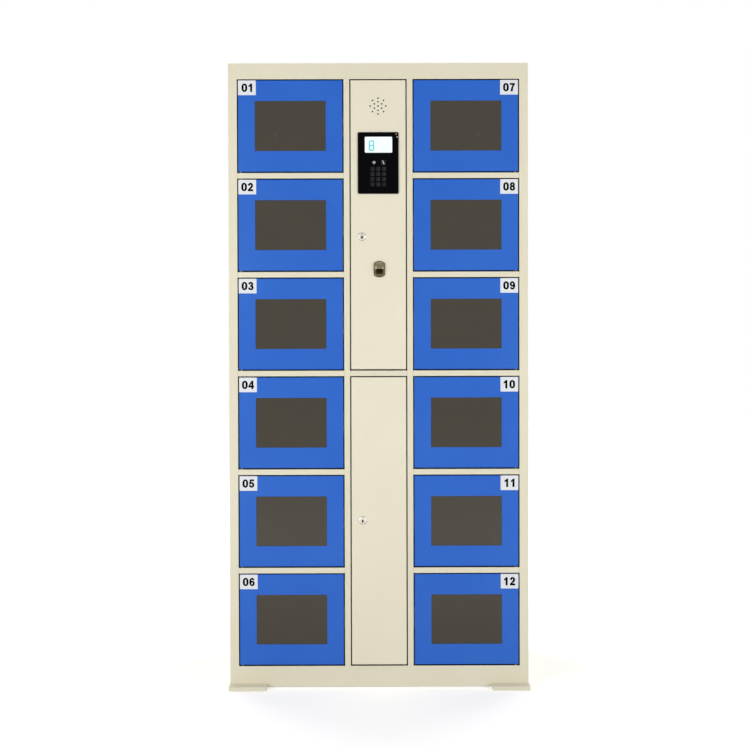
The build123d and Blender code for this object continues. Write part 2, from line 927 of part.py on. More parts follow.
def control_board():
    """Make the lock controller: board on four posts, a relay for each lock, and its headers."""
    board_back = back_front - post_height
    board_face = board_back - board_thickness
    middle_z = board_bottom + board_height / 2
    relay_rows = -(-2 * rows // relay_columns)
    relay_z = board_bottom + relay_rise
    with BuildPart() as board:
        with BuildSketch(facing(back_front)):
            with Locations((0, middle_z)):
                with GridLocations(
                    board_width - 2 * post_inset, board_height - 2 * post_inset, 2, 2
                ):
                    RegularPolygon(post_radius, 6)
        extrude(amount=post_height)
        with BuildSketch(facing(board_back)):
            with Locations((0, middle_z)):
                Rectangle(board_width, board_height)
        extrude(amount=board_thickness)
        with BuildSketch(facing(board_face)):
            with Locations((0, relay_z)):
                with GridLocations(relay_pitch, relay_pitch, relay_columns, relay_rows):
                    Rectangle(relay_width, relay_height)
        extrude(amount=relay_depth)
        with BuildSketch(facing(board_face)):
            with Locations((0, middle_z)):
                with GridLocations(1, board_height - 2 * header_inset, 1, 2):
                    Rectangle(header_width, header_height)
        extrude(amount=header_depth)
        with BuildSketch(facing(board_face)):
            with Locations((0, board_bottom + processor_rise)):
                Rectangle(processor_size, processor_size)
        extrude(amount=processor_depth)
    return board


os.makedirs("parts", exist_ok=True)

save(side_panel(-1), "left_side")
save(side_panel(1), "right_side")
save(column_wall(-1), "column_wall_left")
save(column_wall(1), "column_wall_right")
save(base_panel(), "base_panel")
save(top_panel(), "top_panel")
save(back_panel(), "back_panel")
save(shelves(), "shelves")
save(feet(), "feet")
save(hinge_pins(), "hinge_pins")
save(electric_locks(), "electric_locks")
save(power_inlet(), "power_inlet")
save(power_supply(), "power_supply")
save(control_board(), "control_board")
save(upper_door(), "upper_door")
save(speaker(), "speaker")
save(terminal_housing(), "terminal_housing")
save(terminal_glass(), "terminal_glass")
save(fingerprint_reader(), "fingerprint_reader")
save(lock_barrel(fascia_bottom - upper_cam_lock_drop), "upper_lock_barrel")
save(lock_cam(fascia_bottom - upper_cam_lock_drop), "upper_lock_cam")
save(lower_door(), "lower_door")
save(lock_barrel(split_top - rail - lower_cam_lock_drop), "lower_lock_barrel")
save(lock_cam(split_top - rail - lower_cam_lock_drop), "lower_lock_cam")

for column, hand in enumerate((-1, 1)):
    for row in range(rows):
        number = f"{column * rows + row + 1:02d}"
        save(window_door(hand, row), f"door_{number}")
        save(window_pane(hand, row), f"door_{number}_window")
        save(door_fittings(hand, row), f"door_{number}_fittings")
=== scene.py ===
"""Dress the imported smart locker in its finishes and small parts, and set it in a pale studio.

Sizes are in millimetres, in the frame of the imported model, and become metres where a mesh is made.
"""

import logging
import math
from dataclasses import dataclass, field
from enum import Enum

import bmesh
import bpy
import numpy as np
from mathutils import Matrix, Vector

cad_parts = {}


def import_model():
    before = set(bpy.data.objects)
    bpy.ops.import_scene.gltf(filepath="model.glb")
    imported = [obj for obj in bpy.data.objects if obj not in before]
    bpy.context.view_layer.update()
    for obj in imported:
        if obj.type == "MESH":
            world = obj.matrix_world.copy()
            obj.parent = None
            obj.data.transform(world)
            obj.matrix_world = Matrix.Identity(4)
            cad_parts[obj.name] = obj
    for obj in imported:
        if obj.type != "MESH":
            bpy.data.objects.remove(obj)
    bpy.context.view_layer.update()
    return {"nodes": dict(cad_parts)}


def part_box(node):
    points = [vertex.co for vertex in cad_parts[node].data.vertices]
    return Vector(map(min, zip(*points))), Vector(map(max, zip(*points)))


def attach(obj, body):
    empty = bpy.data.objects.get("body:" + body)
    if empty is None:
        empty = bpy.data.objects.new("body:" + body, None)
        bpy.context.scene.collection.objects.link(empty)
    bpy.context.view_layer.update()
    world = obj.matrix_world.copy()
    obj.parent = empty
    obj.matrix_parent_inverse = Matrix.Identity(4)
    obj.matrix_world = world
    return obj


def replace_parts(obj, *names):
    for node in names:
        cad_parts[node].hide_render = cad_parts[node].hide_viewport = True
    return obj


LOG = logging.getLogger("locker")
MM = 0.001
ROWS = 6
UP = np.array((0.0, 0.0, 1.0))
CORNER_STEPS = 8
ROUND_STEPS = 64
SHARP_EDGE = math.radians(32)
Socket = bpy.types.NodeSocket
Tree = bpy.types.NodeTree


def linear(code: str) -> tuple[float, float, float, float]:
    """Turn an sRGB hex colour into the linear colour that shaders read.

    Args:
        code: six hex digits after a hash.

    Returns:
        Red, green, blue and an alpha of one.
    """
    parts = [int(code[start : start + 2], 16) / 255 for start in (1, 3, 5)]
    red, green, blue = (
        part / 12.92 if part <= 0.04045 else ((part + 0.055) / 1.055) ** 2.4 for part in parts
    )
    return red, green, blue, 1.0


WHITE = linear("#ffffff")


def add_node(
    tree: Tree, kind: str, inputs: dict | None = None, **settings: str | bool
) -> bpy.types.Node:
    """Add a node, set it up, and set or link its inputs.

    Args:
        tree: the node tree that gets the node.
        kind: the node's type name.
        inputs: for each socket's name or number, a value or the socket that feeds it.
        settings: the node's own settings.

    Returns:
        The new node.
    """
    node = tree.nodes.new(kind)
    for name, value in settings.items():
        setattr(node, name, value)
    for key, value in (inputs or {}).items():
        if isinstance(value, Socket):
            tree.links.new(value, node.inputs[key])
        else:
            node.inputs[key].default_value = value
    return node


@dataclass(frozen=True)
class Finish:
    """What every finish has: its name, main colour, roughness and the size of its pattern."""

    name: str
    colour: str
    roughness: float = 0.4
    grain: float = 1.0

    def material(self) -> bpy.types.Material:
        """Make the finish's material, or find it if it has been made before.

        Returns:
            The material.
        """
        known = bpy.data.materials.get(self.name)
        if known is not None:
            return known
        material = bpy.data.materials.new(self.name)
        material.use_nodes = True
        tree = material.node_tree
        tree.nodes.clear()
        coordinates = add_node(tree, "ShaderNodeTexCoord").outputs["Object"]
        scaled = {0: coordinates, "Scale": 1 / MM}
        place = add_node(tree, "ShaderNodeVectorMath", scaled, operation="SCALE").outputs[0]
        add_node(tree, "ShaderNodeOutputMaterial", {"Surface": self.shader(tree, place)})
        return material

    def shader(self, tree: Tree, place: Socket) -> Socket:
        """Build the finish's shader: one principled surface of the main colour.

        Args:
            tree: the material's node tree.
            place: object coordinates in millimetres.

        Returns:
            The shader's output.
        """
        inputs = {"Base Color": linear(self.colour)} | self.inputs(tree, place)
        return add_node(tree, "ShaderNodeBsdfPrincipled", inputs).outputs[0]

    def inputs(self, tree: Tree, place: Socket) -> dict:
        """Return the surface's own inputs.

        Args:
            tree: the material's node tree.
            place: object coordinates in millimetres.

        Returns:
            For each input's name, a value or the socket that feeds it.
        """
        raise NotImplementedError

    def textured(
        self,
        tree: Tree,
        place: Socket,
        size: float,
        detail: float = 2.0,
        rough: tuple[float, float] | None = None,
        relief: tuple[float, float] | None = None,
        other: str | None = None,
    ) -> dict[str, Socket]:
        """Vary a surface's inputs with one soft noise, whose middle half spans each range.

        Args:
            tree: the material's node tree.
            place: object coordinates in millimetres.
            size: how wide the noise's patches are, in millimetres.
            detail: how many finer layers the noise has.
            rough: how far the roughness moves down and up, if it varies.
            relief: how deep the bumps are in millimetres and how strong, if there are any.
            other: the colour that the main one clouds over to, if it does.

        Returns:
            The inputs that vary.
        """
        patches = {"Vector": place, "Scale": 1 / size, "Detail": detail}
        noise = add_node(tree, "ShaderNodeTexNoise", patches).outputs[0]
        middle_half = {"Value": noise, 1: 0.25, 2: 0.75}
        inputs = {}
        if rough:
            ends = {3: self.roughness + rough[0], 4: self.roughness + rough[1]}
            span = add_node(tree, "ShaderNodeMapRange", middle_half | ends)
            inputs["Roughness"] = span.outputs[0]
        if relief:
            bump = {"Height": noise, "Distance": relief[0] * MM, "Strength": relief[1]}
            inputs["Normal"] = add_node(tree, "ShaderNodeBump", bump).outputs[0]
        if other:
            share = add_node(tree, "ShaderNodeMapRange", middle_half).outputs[0]
            tone = {0: share, 6: linear(self.colour), 7: linear(other)}
            mix = add_node(tree, "ShaderNodeMix", tone, data_type="RGBA")
            inputs["Base Color"] = mix.outputs[2]
        return inputs


@dataclass(frozen=True)
class PowderCoat(Finish):
    """Polyester powder sprayed and baked on steel: satin, with a fine orange peel.

    The eye sees an even colour with a soft sheen that breaks up close to, and very faint clouds
    where the coat is thicker.
    """

    shade: str = "#ffffff"
    roughness: float = 0.42
    grain: float = 1.6
    cloud: float = 220.0
    sheen_level: float = 0.35

    def inputs(self, tree: Tree, place: Socket) -> dict:
        """Mix two close shades in wide clouds, and pit the surface with orange peel.

        Args:
            tree: the material's node tree.
            place: object coordinates in millimetres.

        Returns:
            For each of the surface's inputs, a value or the socket that feeds it.
        """
        return {
            "IOR": 1.5,
            "Specular IOR Level": self.sheen_level,
            **self.textured(tree, place, self.cloud, rough=(-0.03, 0.04), other=self.shade),
            **self.textured(tree, place, self.grain, detail=1.0, relief=(0.02, 0.35)),
        }


@dataclass(frozen=True)
class ZincPlate(Finish):
    """Steel with an electroplated and passivated zinc coat.

    The eye sees a cool satin metal that turns faintly straw-coloured in soft clouds.
    """

    tint: str = "#bdb9aa"
    roughness: float = 0.36
    grain: float = 14.0
    satin: float = 0.8

    def inputs(self, tree: Tree, place: Socket) -> dict:
        """Let the passivation's tint come and go in clouds, over a fine satin.

        Args:
            tree: the material's node tree.
            place: object coordinates in millimetres.

        Returns:
            For each of the surface's inputs, a value or the socket that feeds it.
        """
        return {
            "Metallic": 1.0,
            **self.textured(tree, place, self.grain, 3.0, rough=(-0.05, 0.06), other=self.tint),
            **self.textured(tree, place, self.satin, 1.0, relief=(0.01, 0.3)),
        }


@dataclass(frozen=True)
class BrushedMetal(Finish):
    """Metal brushed or turned along one line: fine streaks that draw the light out sideways."""

    streak: tuple[float, float, float] = (60.0, 60.0, 0.4)
    roughness: float = 0.3

    def inputs(self, tree: Tree, place: Socket) -> dict:
        """Stretch noise into streaks whose length, breadth and height are given.

        Args:
            tree: the material's node tree.
            place: object coordinates in millimetres.

        Returns:
            For each of the surface's inputs, a value or the socket that feeds it.
        """
        scale = tuple(1 / length for length in self.streak)
        stretched = add_node(tree, "ShaderNodeMapping", {"Vector": place, "Scale": scale})
        line = stretched.outputs[0]
        lines = self.textured(tree, line, 1.0, 3.0, rough=(-0.08, 0.1), relief=(0.01, 0.3))
        return {"Metallic": 1.0, **lines}


@dataclass(frozen=True)
class PolishedMetal(Finish):
    """Plated and polished metal: a clear reflection that faint handling haze softens."""

    roughness: float = 0.12
    grain: float = 6.0

    def inputs(self, tree: Tree, place: Socket) -> dict:
        """Haze the polish in patches of a few millimetres."""
        return {"Metallic": 1.0, **self.textured(tree, place, self.grain, rough=(0.0, 0.1))}


@dataclass(frozen=True)
class MouldedPlastic(Finish):
    """ABS moulded in a spark-eroded tool: an even fine grain that dulls the light."""

    roughness: float = 0.5
    grain: float = 0.7
    reflection: float = 0.5

    def inputs(self, tree: Tree, place: Socket) -> dict:
        """Roughen the plastic with the tool's grain.

        Args:
            tree: the material's node tree.
            place: object coordinates in millimetres.

        Returns:
            For each of the surface's inputs, a value or the socket that feeds it.
        """
        rough, relief = (-0.06, 0.06), (0.03, 0.4)
        return {
            "IOR": 1.53,
            "Specular IOR Level": self.reflection,
            **self.textured(tree, place, self.grain, 1.0, rough=rough, relief=relief),
        }


@dataclass(frozen=True)
class SmokedAcrylic(Finish):
    """Cast acrylic sheet tinted smoke brown and flame polished.

    The eye sees a clear dark reflection, and the compartment only dimly behind it.
    """

    roughness: float = 0.04
    grain: float = 90.0
    clearness: float = 0.7
    reflection: float = 0.3

    def inputs(self, tree: Tree, place: Socket) -> dict:
        """Let part of the light through, and wave the surface as a cast sheet does.

        Args:
            tree: the material's node tree.
            place: object coordinates in millimetres.

        Returns:
            For each of the surface's inputs, a value or the socket that feeds it.
        """
        rough, relief = (0.0, 0.03), (0.15, 0.4)
        return {
            "IOR": 1.49,
            "Specular IOR Level": self.reflection,
            "Transmission Weight": self.clearness,
            **self.textured(tree, place, self.grain, 0.0, rough=rough, relief=relief),
        }


@dataclass(frozen=True)
class BackedGlass(Finish):
    """Float glass, coated against glare, with black ink behind it.

    The eye sees a deep black under one faint and sharp reflection.
    """

    roughness: float = 0.05
    grain: float = 25.0
    reflection: float = 0.025

    def inputs(self, tree: Tree, place: Socket) -> dict:
        """Smear the polish here and there as fingers do.

        Args:
            tree: the material's node tree.
            place: object coordinates in millimetres.

        Returns:
            For each of the surface's inputs, a value or the socket that feeds it.
        """
        return {
            "IOR": 1.52,
            "Specular IOR Level": self.reflection,
            **self.textured(tree, place, self.grain, 4.0, rough=(0.0, 0.12)),
        }


@dataclass(frozen=True)
class LitPanel(Finish):
    """A backlit display or a small lamp: light that is a little stronger in places."""

    roughness: float = 0.2
    grain: float = 30.0
    strength: float = 1.0
    unlit: str = "#202426"

    def inputs(self, tree: Tree, place: Socket) -> dict:
        """Light the surface by itself, unevenly by a few percent.

        Args:
            tree: the material's node tree.
            place: object coordinates in millimetres.

        Returns:
            For each of the surface's inputs, a value or the socket that feeds it.
        """
        patches = {"Vector": place, "Scale": 1 / self.grain, "Detail": 0.0}
        uneven = add_node(tree, "ShaderNodeTexNoise", patches).outputs[0]
        low, high = 0.96 * self.strength, 1.02 * self.strength
        span = {"Value": uneven, 1: 0.25, 2: 0.75, 3: low, 4: high}
        return {
            "Base Color": linear(self.unlit),
            "Roughness": self.roughness,
            "Emission Color": linear(self.colour),
            "Emission Strength": add_node(tree, "ShaderNodeMapRange", span).outputs[0],
        }


@dataclass(frozen=True)
class PrintedInk(Finish):
    """Screen-printed ink: flat colour whose edge and thickness waver very slightly."""

    roughness: float = 0.55
    grain: float = 2.0
    reflection: float = 0.3

    def inputs(self, tree: Tree, place: Socket) -> dict:
        """Vary the ink's sheen with its thickness."""
        film = self.textured(tree, place, self.grain, rough=(-0.08, 0.08))
        return {"Specular IOR Level": self.reflection, **film}


@dataclass(frozen=True)
class BladedPlastic(MouldedPlastic):
    """Moulded plastic that turns to drawn brass inside a box, for the blades in a socket."""

    brass: str = "#c9a75c"
    polish: float = 0.25
    low: tuple[float, float, float] = (0.0, 0.0, 0.0)
    high: tuple[float, float, float] = (0.0, 0.0, 0.0)

    def shader(self, tree: Tree, place: Socket) -> Socket:
        """Mix brass into the plastic where the place lies inside the box.

        Args:
            tree: the material's node tree.
            place: object coordinates in millimetres.

        Returns:
            The mixed shader's output.
        """
        plastic = super().shader(tree, place)
        drawn = {"Metallic": 1.0, "Roughness": self.polish}
        metal = {"Base Color": linear(self.brass), **drawn}
        brass = add_node(tree, "ShaderNodeBsdfPrincipled", metal).outputs[0]
        middle = tuple((a + b) / 2 for a, b in zip(self.low, self.high))
        scale = tuple(2 / (b - a) for a, b in zip(self.low, self.high))
        away = add_node(tree, "ShaderNodeVectorMath", {0: place, 1: middle}, operation="SUBTRACT")
        sized = {0: away.outputs[0], 1: scale}
        inside = add_node(tree, "ShaderNodeVectorMath", sized, operation="MULTIPLY").outputs[0]
        size = add_node(tree, "ShaderNodeVectorMath", {0: inside}, operation="ABSOLUTE").outputs[0]
        parts = add_node(tree, "ShaderNodeSeparateXYZ", {0: size}).outputs
        widest = add_node(tree, "ShaderNodeMath", {0: parts[0], 1: parts[1]}, operation="MAXIMUM")
        longest = {0: widest.outputs[0], 1: parts[2]}
        farthest = add_node(tree, "ShaderNodeMath", longest, operation="MAXIMUM").outputs[0]
        within = add_node(tree, "ShaderNodeMath", {0: farthest, 1: 1.0}, operation="LESS_THAN")
        shares = {0: within.outputs[0], 1: plastic, 2: brass}
        return add_node(tree, "ShaderNodeMixShader", shares).outputs[0]


CREAM = PowderCoat("cream_powder_coat_on_steel", "#ddd7bf", shade="#e1dbc5")
CREAM_DOOR = PowderCoat("pale_cream_powder_coat_on_steel", "#e3dcc6", shade="#e6e0ca")
BLUE = PowderCoat("blue_powder_coat_on_steel", "#1d5dc1", shade="#2463c3", roughness=0.38)
ZINC = ZincPlate("zinc_plated_steel", "#b4b8bb")
LOCK_CASE = ZincPlate("zinc_plated_lock_case", "#a5a9ac", roughness=0.4)
PIN_STEEL = ZincPlate("oiled_pin_steel", "#5d6064", tint="#6a6860", roughness=0.42, grain=5.0)
SMOKED = SmokedAcrylic("smoked_cast_acrylic", "#605743")
NICKEL = PolishedMetal("satin_nickel_plated_zinc", "#d9d2c6", roughness=0.22)
# Dark steel for the plug's mark, and for the ring under the flange, which is painted shade round the
# flange's rim.
MARK_AND_RIM_SHADE_STEEL = PolishedMetal("darkened_steel_washer", "#5b554b", roughness=0.35)
# Dark zinc of the reader's flange; on the cheeks beside the mouth it is painted shade.
READER_FLANGE_AND_CHEEK_SHADE = PolishedMetal("dark_zinc_flange_and_painted_cheek_shade", "#55543d", roughness=0.26)
READER_HOOD = PolishedMetal("warm_gunmetal_zinc", "#7d745f", roughness=0.13)
# A darker copy of the hood's gunmetal for the chin: painted shade.
READER_CHIN_SHADE = PolishedMetal("gunmetal_zinc_painted_chin_shade", "#635b48", roughness=0.2)
# Pale polished strip on the hood's lower edge: painted highlight.
READER_LIP_HIGHLIGHT = PolishedMetal("polished_zinc_lip_painted_highlight", "#ddd5c4", roughness=0.15)
STEEL_SCREW = PolishedMetal("bright_steel_screw", "#c3c5c6", roughness=0.25, grain=2.0)
BLACK_ABS = MouldedPlastic("black_moulded_abs", "#0f0f11")
# Near-black strip behind the door gaps: painted shade in the gaps.
GAP_SHADE_TAPE = MouldedPlastic("black_tape_painted_gap_shade", "#070708", roughness=0.9, reflection=0.03)
# Black slab in the keyway: painted shade.
KEYWAY_SHADE = MouldedPlastic("black_moulded_key_shutter", "#080606", roughness=0.7, reflection=0.1)
SPEAKER_CASE = MouldedPlastic("black_moulded_basket", "#0a0a0b", roughness=0.6, reflection=0.1)
SPEAKER_CONE = MouldedPlastic(
    "pressed_paper_cone", "#090807", roughness=0.85, grain=0.5, reflection=0.05
)
FERRITE = MouldedPlastic("sintered_ferrite", "#2b2a2b", roughness=0.6, grain=1.5)
GLASS = BackedGlass("coated_black_backed_glass", "#050507")
SENSOR = BackedGlass("sensor_glass", "#2b1d0b", roughness=0.15, reflection=0.03)
DISPLAY = LitPanel("backlit_display", "#f4ffff", strength=1.0)
DISPLAY_MARK = LitPanel("display_mark", "#6fdfe8", strength=0.9)
LAMP_AMBER = LitPanel("amber_lamp", "#e6b888", strength=1.0, grain=2.0)
LAMP_WHITE = LitPanel("white_lamp", "#f0f4ea", strength=1.0, grain=2.0)
ICON_INK = PrintedInk("grey_ink_behind_glass", "#a9a9ac", reflection=0.1)
KEY_INK = PrintedInk("dark_grey_ink_behind_glass", "#434347", reflection=0.05)
PLATE = PrintedInk("white_engraving_plastic", "#dfe2e6", roughness=0.35, grain=12.0)
PLATE_INK = PrintedInk("black_engraved_ink", "#020203", reflection=0.02)
BRUSHED_CASE = BrushedMetal("brushed_aluminium_case", "#c2c5c8", streak=(80.0, 80.0, 0.5))
LAMINATE = PrintedInk("green_solder_masked_laminate", "#0f5a34", roughness=0.3, grain=6.0)
RELAY_CASE = MouldedPlastic("blue_relay_case", "#1f5fa8", roughness=0.35)
HEADER_CASE = MouldedPlastic("green_terminal_block", "#2c8a4a", roughness=0.45)
CHIP_CASE = MouldedPlastic("epoxy_chip_case", "#141416", roughness=0.45)


class Facing(Enum):
    """Which way a piece looks, as the directions that it calls right and outwards."""

    FRONT = ((1, 0, 0), (0, -1, 0))
    BACK = ((-1, 0, 0), (0, 1, 0))
    LEFT = ((0, -1, 0), (-1, 0, 0))
    RIGHT = ((0, 1, 0), (1, 0, 0))

    def place(self, flat: np.ndarray, out: np.ndarray | float, middle: np.ndarray) -> np.ndarray:
        """Carry flat points, right and up, to space: middle + right, up and outward steps.

        Args:
            flat: points as right and up, in millimetres, in the last axis.
            out: how far each point stands out.
            middle: where the flat origin lies in space.

        Returns:
            The points in space, with three coordinates in the last axis.
        """
        right, outward = (np.array(way, float) for way in self.value)
        reach = np.broadcast_to(np.asarray(out, float), flat.shape[:-1])
        return middle + flat[..., :1] * right + flat[..., 1:2] * UP + reach[..., None] * outward


def circle(angle: np.ndarray) -> np.ndarray:
    """Return the cosine and sine of each angle, as points right and up."""
    return np.stack((np.cos(angle), np.sin(angle)), axis=-1)


def around(steps: int) -> np.ndarray:
    """Return evenly stepped angles once round, without the last that meets the first."""
    return np.linspace(0, 2 * np.pi, steps, endpoint=False)


def grid_faces(rows: int, columns: int) -> np.ndarray:
    """Join the points of a grid, which are counted row by row, into four-sided cells.

    Args:
        rows: how many rows of points there are.
        columns: how many points a row has.

    Returns:
        The numbers of each cell's four corners.
    """
    index = np.arange(rows * columns).reshape(rows, columns)
    cells = (index[:-1, :-1], index[:-1, 1:], index[1:, 1:], index[1:, :-1])
    return np.stack(cells, axis=-1).reshape(-1, 4)


@dataclass(frozen=True)
class Outline:
    """A closed flat outline, which can be drawn in."""

    def loop(self, inset: float = 0.0) -> np.ndarray:
        """Return the outline's points, right and up, moved inwards by the inset."""
        raise NotImplementedError


@dataclass(frozen=True)
class RoundedRectangle(Outline):
    """An outline of four quarter circles about the corners, which is a circle if they fill it."""

    width: float
    height: float
    radius: float
    middle: tuple[float, float] = (0.0, 0.0)

    def loop(self, inset: float = 0.0) -> np.ndarray:
        """Draw each corner as its centre plus its radius times (cos, sin) of the angle.

        Args:
            inset: how far the outline is drawn in.

        Returns:
            The points, right and up.
        """
        half = np.array((self.width / 2 - inset, self.height / 2 - inset))
        radius = max(self.radius - inset, min(0.05, *half))
        quarter = np.linspace(0, np.pi / 2, CORNER_STEPS)
        angle = (quarter[None, :] + np.pi / 2 * np.arange(4)[:, None]).ravel()
        signs = np.repeat([(1, 1), (-1, 1), (-1, -1), (1, -1)], CORNER_STEPS, axis=0)
        return signs * (half - radius) + radius * circle(angle) + np.array(self.middle)


@dataclass(frozen=True)
class Round(Outline):
    """A circle, cut by two upright flats where a width is given, or by six as a hexagon."""

    radius: float
    width: float = 0.0
    hexagon: bool = False

    def loop(self, inset: float = 0.0) -> np.ndarray:
        """Draw the radius times (cos, sin) of the angle, clipped or drawn in to the flats.

        Args:
            inset: how far the outline is drawn in.

        Returns:
            The points, right and up.
        """
        angle = around(ROUND_STEPS)
        radius = np.full(ROUND_STEPS, self.radius - inset)
        if self.hexagon:
            radius /= np.cos((angle + np.pi / 6) % (np.pi / 3) - np.pi / 6)
        points = radius[:, None] * circle(angle)
        if self.width:
            limit = self.width / 2 - inset
            points[:, 0] = np.clip(points[:, 0], -limit, limit)
        return points


@dataclass
class Skin:
    """A surface as whole arrays: points in millimetres, four-sided and three-sided faces."""

    points: np.ndarray
    quads: np.ndarray
    triangles: np.ndarray

    @staticmethod
    def lofted(loops: np.ndarray, ring: bool = False) -> "Skin":
        """Join closed loops of equal length into a skin.

        Point (i, j) is joined to its neighbours on its own loop and on the next one. The last
        loop joins the first in a ring. Otherwise each end is closed by a fan about its mean.

        Args:
            loops: points with the axes loop, place on the loop, coordinate.
            ring: whether the last loop joins the first.

        Returns:
            The closed skin.
        """
        count, length = loops.shape[:2]
        steps = count if ring else count - 1
        row, column = np.meshgrid(np.arange(steps), np.arange(length), indexing="ij")
        after = (column + 1) % length
        below = (row + 1) % count
        corners = (row * length + column, row * length + after)
        far_corners = (below * length + after, below * length + column)
        quads = np.stack(corners + far_corners, axis=-1).reshape(-1, 4)
        points = loops.reshape(-1, 3)
        triangles = np.empty((0, 3), int)
        if not ring:
            edge = np.arange(length)
            following = (edge + 1) % length
            last = (count - 1) * length
            start = np.full(length, len(points))
            first_fan = np.stack((start, following, edge), axis=1)
            last_fan = np.stack((start + 1, last + edge, last + following), axis=1)
            triangles = np.concatenate((first_fan, last_fan))
            points = np.concatenate((points, [loops[0].mean(axis=0), loops[-1].mean(axis=0)]))
        return Skin(points, quads, triangles)

    @staticmethod
    def joined(skins: list["Skin"]) -> "Skin":
        """Gather several skins into one, with each one's faces counted on from the last.

        Args:
            skins: the skins.

        Returns:
            One skin with all their points and faces.
        """
        starts = np.cumsum([0] + [len(skin.points) for skin in skins[:-1]])
        return Skin(
            np.concatenate([skin.points for skin in skins]),
            np.concatenate([skin.quads + start for skin, start in zip(skins, starts)]),
            np.concatenate([skin.triangles + start for skin, start in zip(skins, starts)]),
        )

    def piece(self, name: str, body: str, finish: Finish, slot: str) -> bpy.types.Object:
        """Make the skin a piece that rides on a body.

        Args:
            name: the piece's name.
            body: the body that it rides on.
            finish: what it is made of.
            slot: the record's material slot; not used.

        Returns:
            The new object.
        """
        mesh = bpy.data.meshes.new(name)
        faces = self.quads.tolist() + self.triangles.tolist()
        mesh.from_pydata((self.points * MM).tolist(), [], faces)
        return dressed(mesh, name, body, finish)


def dressed(
    mesh: bpy.types.Mesh, name: str, body: str, finish: Finish
) -> bpy.types.Object:
    """Close a mesh, turn its faces outwards, finish it and set it on its body.

    Args:
        mesh: the mesh, in metres and in place.
        name: the piece's name.
        body: the body that it rides on.
        finish: what it is made of.

    Returns:
        The new object.
    """
    work = bmesh.new()
    work.from_mesh(mesh)
    bmesh.ops.remove_doubles(work, verts=work.verts, dist=1e-7)
    bmesh.ops.dissolve_degenerate(work, dist=1e-8, edges=work.edges)
    bmesh.ops.recalc_face_normals(work, faces=work.faces)
    work.to_mesh(mesh)
    work.free()
    mesh.shade_smooth()
    mesh.set_sharp_from_angle(angle=SHARP_EDGE)
    mesh.materials.clear()
    mesh.materials.append(finish.material())
    piece = bpy.data.objects.new(name, mesh)
    bpy.context.scene.collection.objects.link(piece)
    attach(piece, body)
    return piece


def carried(
    parts: list[tuple[Outline, float, float]],
    facing: Facing,
    middle: np.ndarray,
    ring: bool = False,
) -> Skin:
    """Carry a skin through outlines that lie one over another.

    Args:
        parts: each outline, its inset and how far it stands out.
        facing: which way the skin looks.
        middle: the outlines' origin in space.
        ring: whether the last outline joins the first.

    Returns:
        A closed skin.
    """
    loops = [facing.place(outline.loop(inset), out, middle) for outline, inset, out in parts]
    return Skin.lofted(np.stack(loops), ring)


def slab(
    outline: Outline,
    steps: list[tuple[float, float]],
    facing: Facing,
    middle: np.ndarray,
    ring: bool = False,
) -> Skin:
    """Carry a profile round one outline: a loop for each inset and how far it stands out."""
    return carried([(outline, *step) for step in steps], facing, middle, ring)


def turned(
    profile: list[tuple[float, float]], facing: Facing, middle: np.ndarray, ring: bool = False
) -> Skin:
    """Turn a profile about the outward axis: a circle for each radius and reach."""
    return carried([(Round(radius), 0.0, out) for radius, out in profile], facing, middle, ring)


def screw_head(facing: Facing, middle: np.ndarray, radius: float) -> Skin:
    """Form a pan head with a cross recess.

    The head is a grid of ring and angle. Its height falls off towards the rim like one minus a
    power of the ring's share of the radius. It drops to the recess's floor inside the cross,
    where the smaller of the two distances from the axes is within the arm's half width.

    Args:
        facing: which way the head looks.
        middle: the middle of its underside in space.
        radius: its radius.

    Returns:
        A closed skin.
    """
    share = np.array((1.0, 1.0, 0.93, 0.8, 0.62, 0.6, 0.4, 0.2, 0.08))
    height = np.array((0.0, 0.45, 0.72, 0.9, 0.98, 1.0, 1.0, 1.0, 1.0)) * radius * 0.6
    arm_half, arm_reach, floor = 0.16, 0.61, 0.35
    flat = radius * share[:, None, None] * circle(around(32))
    arm = np.abs(flat).min(axis=-1) < arm_half * radius
    cross = arm & (share[:, None] < arm_reach)
    out = np.where(cross, height[:, None] * floor, height[:, None])
    return Skin.lofted(facing.place(flat, out, middle))


# A figure's field is this wide and high. Figures stand apart by the gap, and their outlines grow.
FIELD = (66.0, 100.0)
FIELD_GAP = 14.0
FIELD_GROWTH = 2.8
BOW_STEP = 12.0


@dataclass(frozen=True)
class Bow:
    """Part of an ellipse in a figure's outline: its middle, half sizes, and the angles it spans."""

    x: float
    y: float
    across: float
    up: float
    start: float
    end: float

    def points(self) -> np.ndarray:
        """Draw the bow as its middle + half sizes times (cos, sin) of evenly stepped angles.

        Returns:
            The points, right and up.
        """
        steps = 2 + int(abs(self.end - self.start) / BOW_STEP)
        angle = np.radians(np.linspace(self.start, self.end, steps))
        return np.array((self.x, self.y)) + circle(angle) * (self.across, self.up)


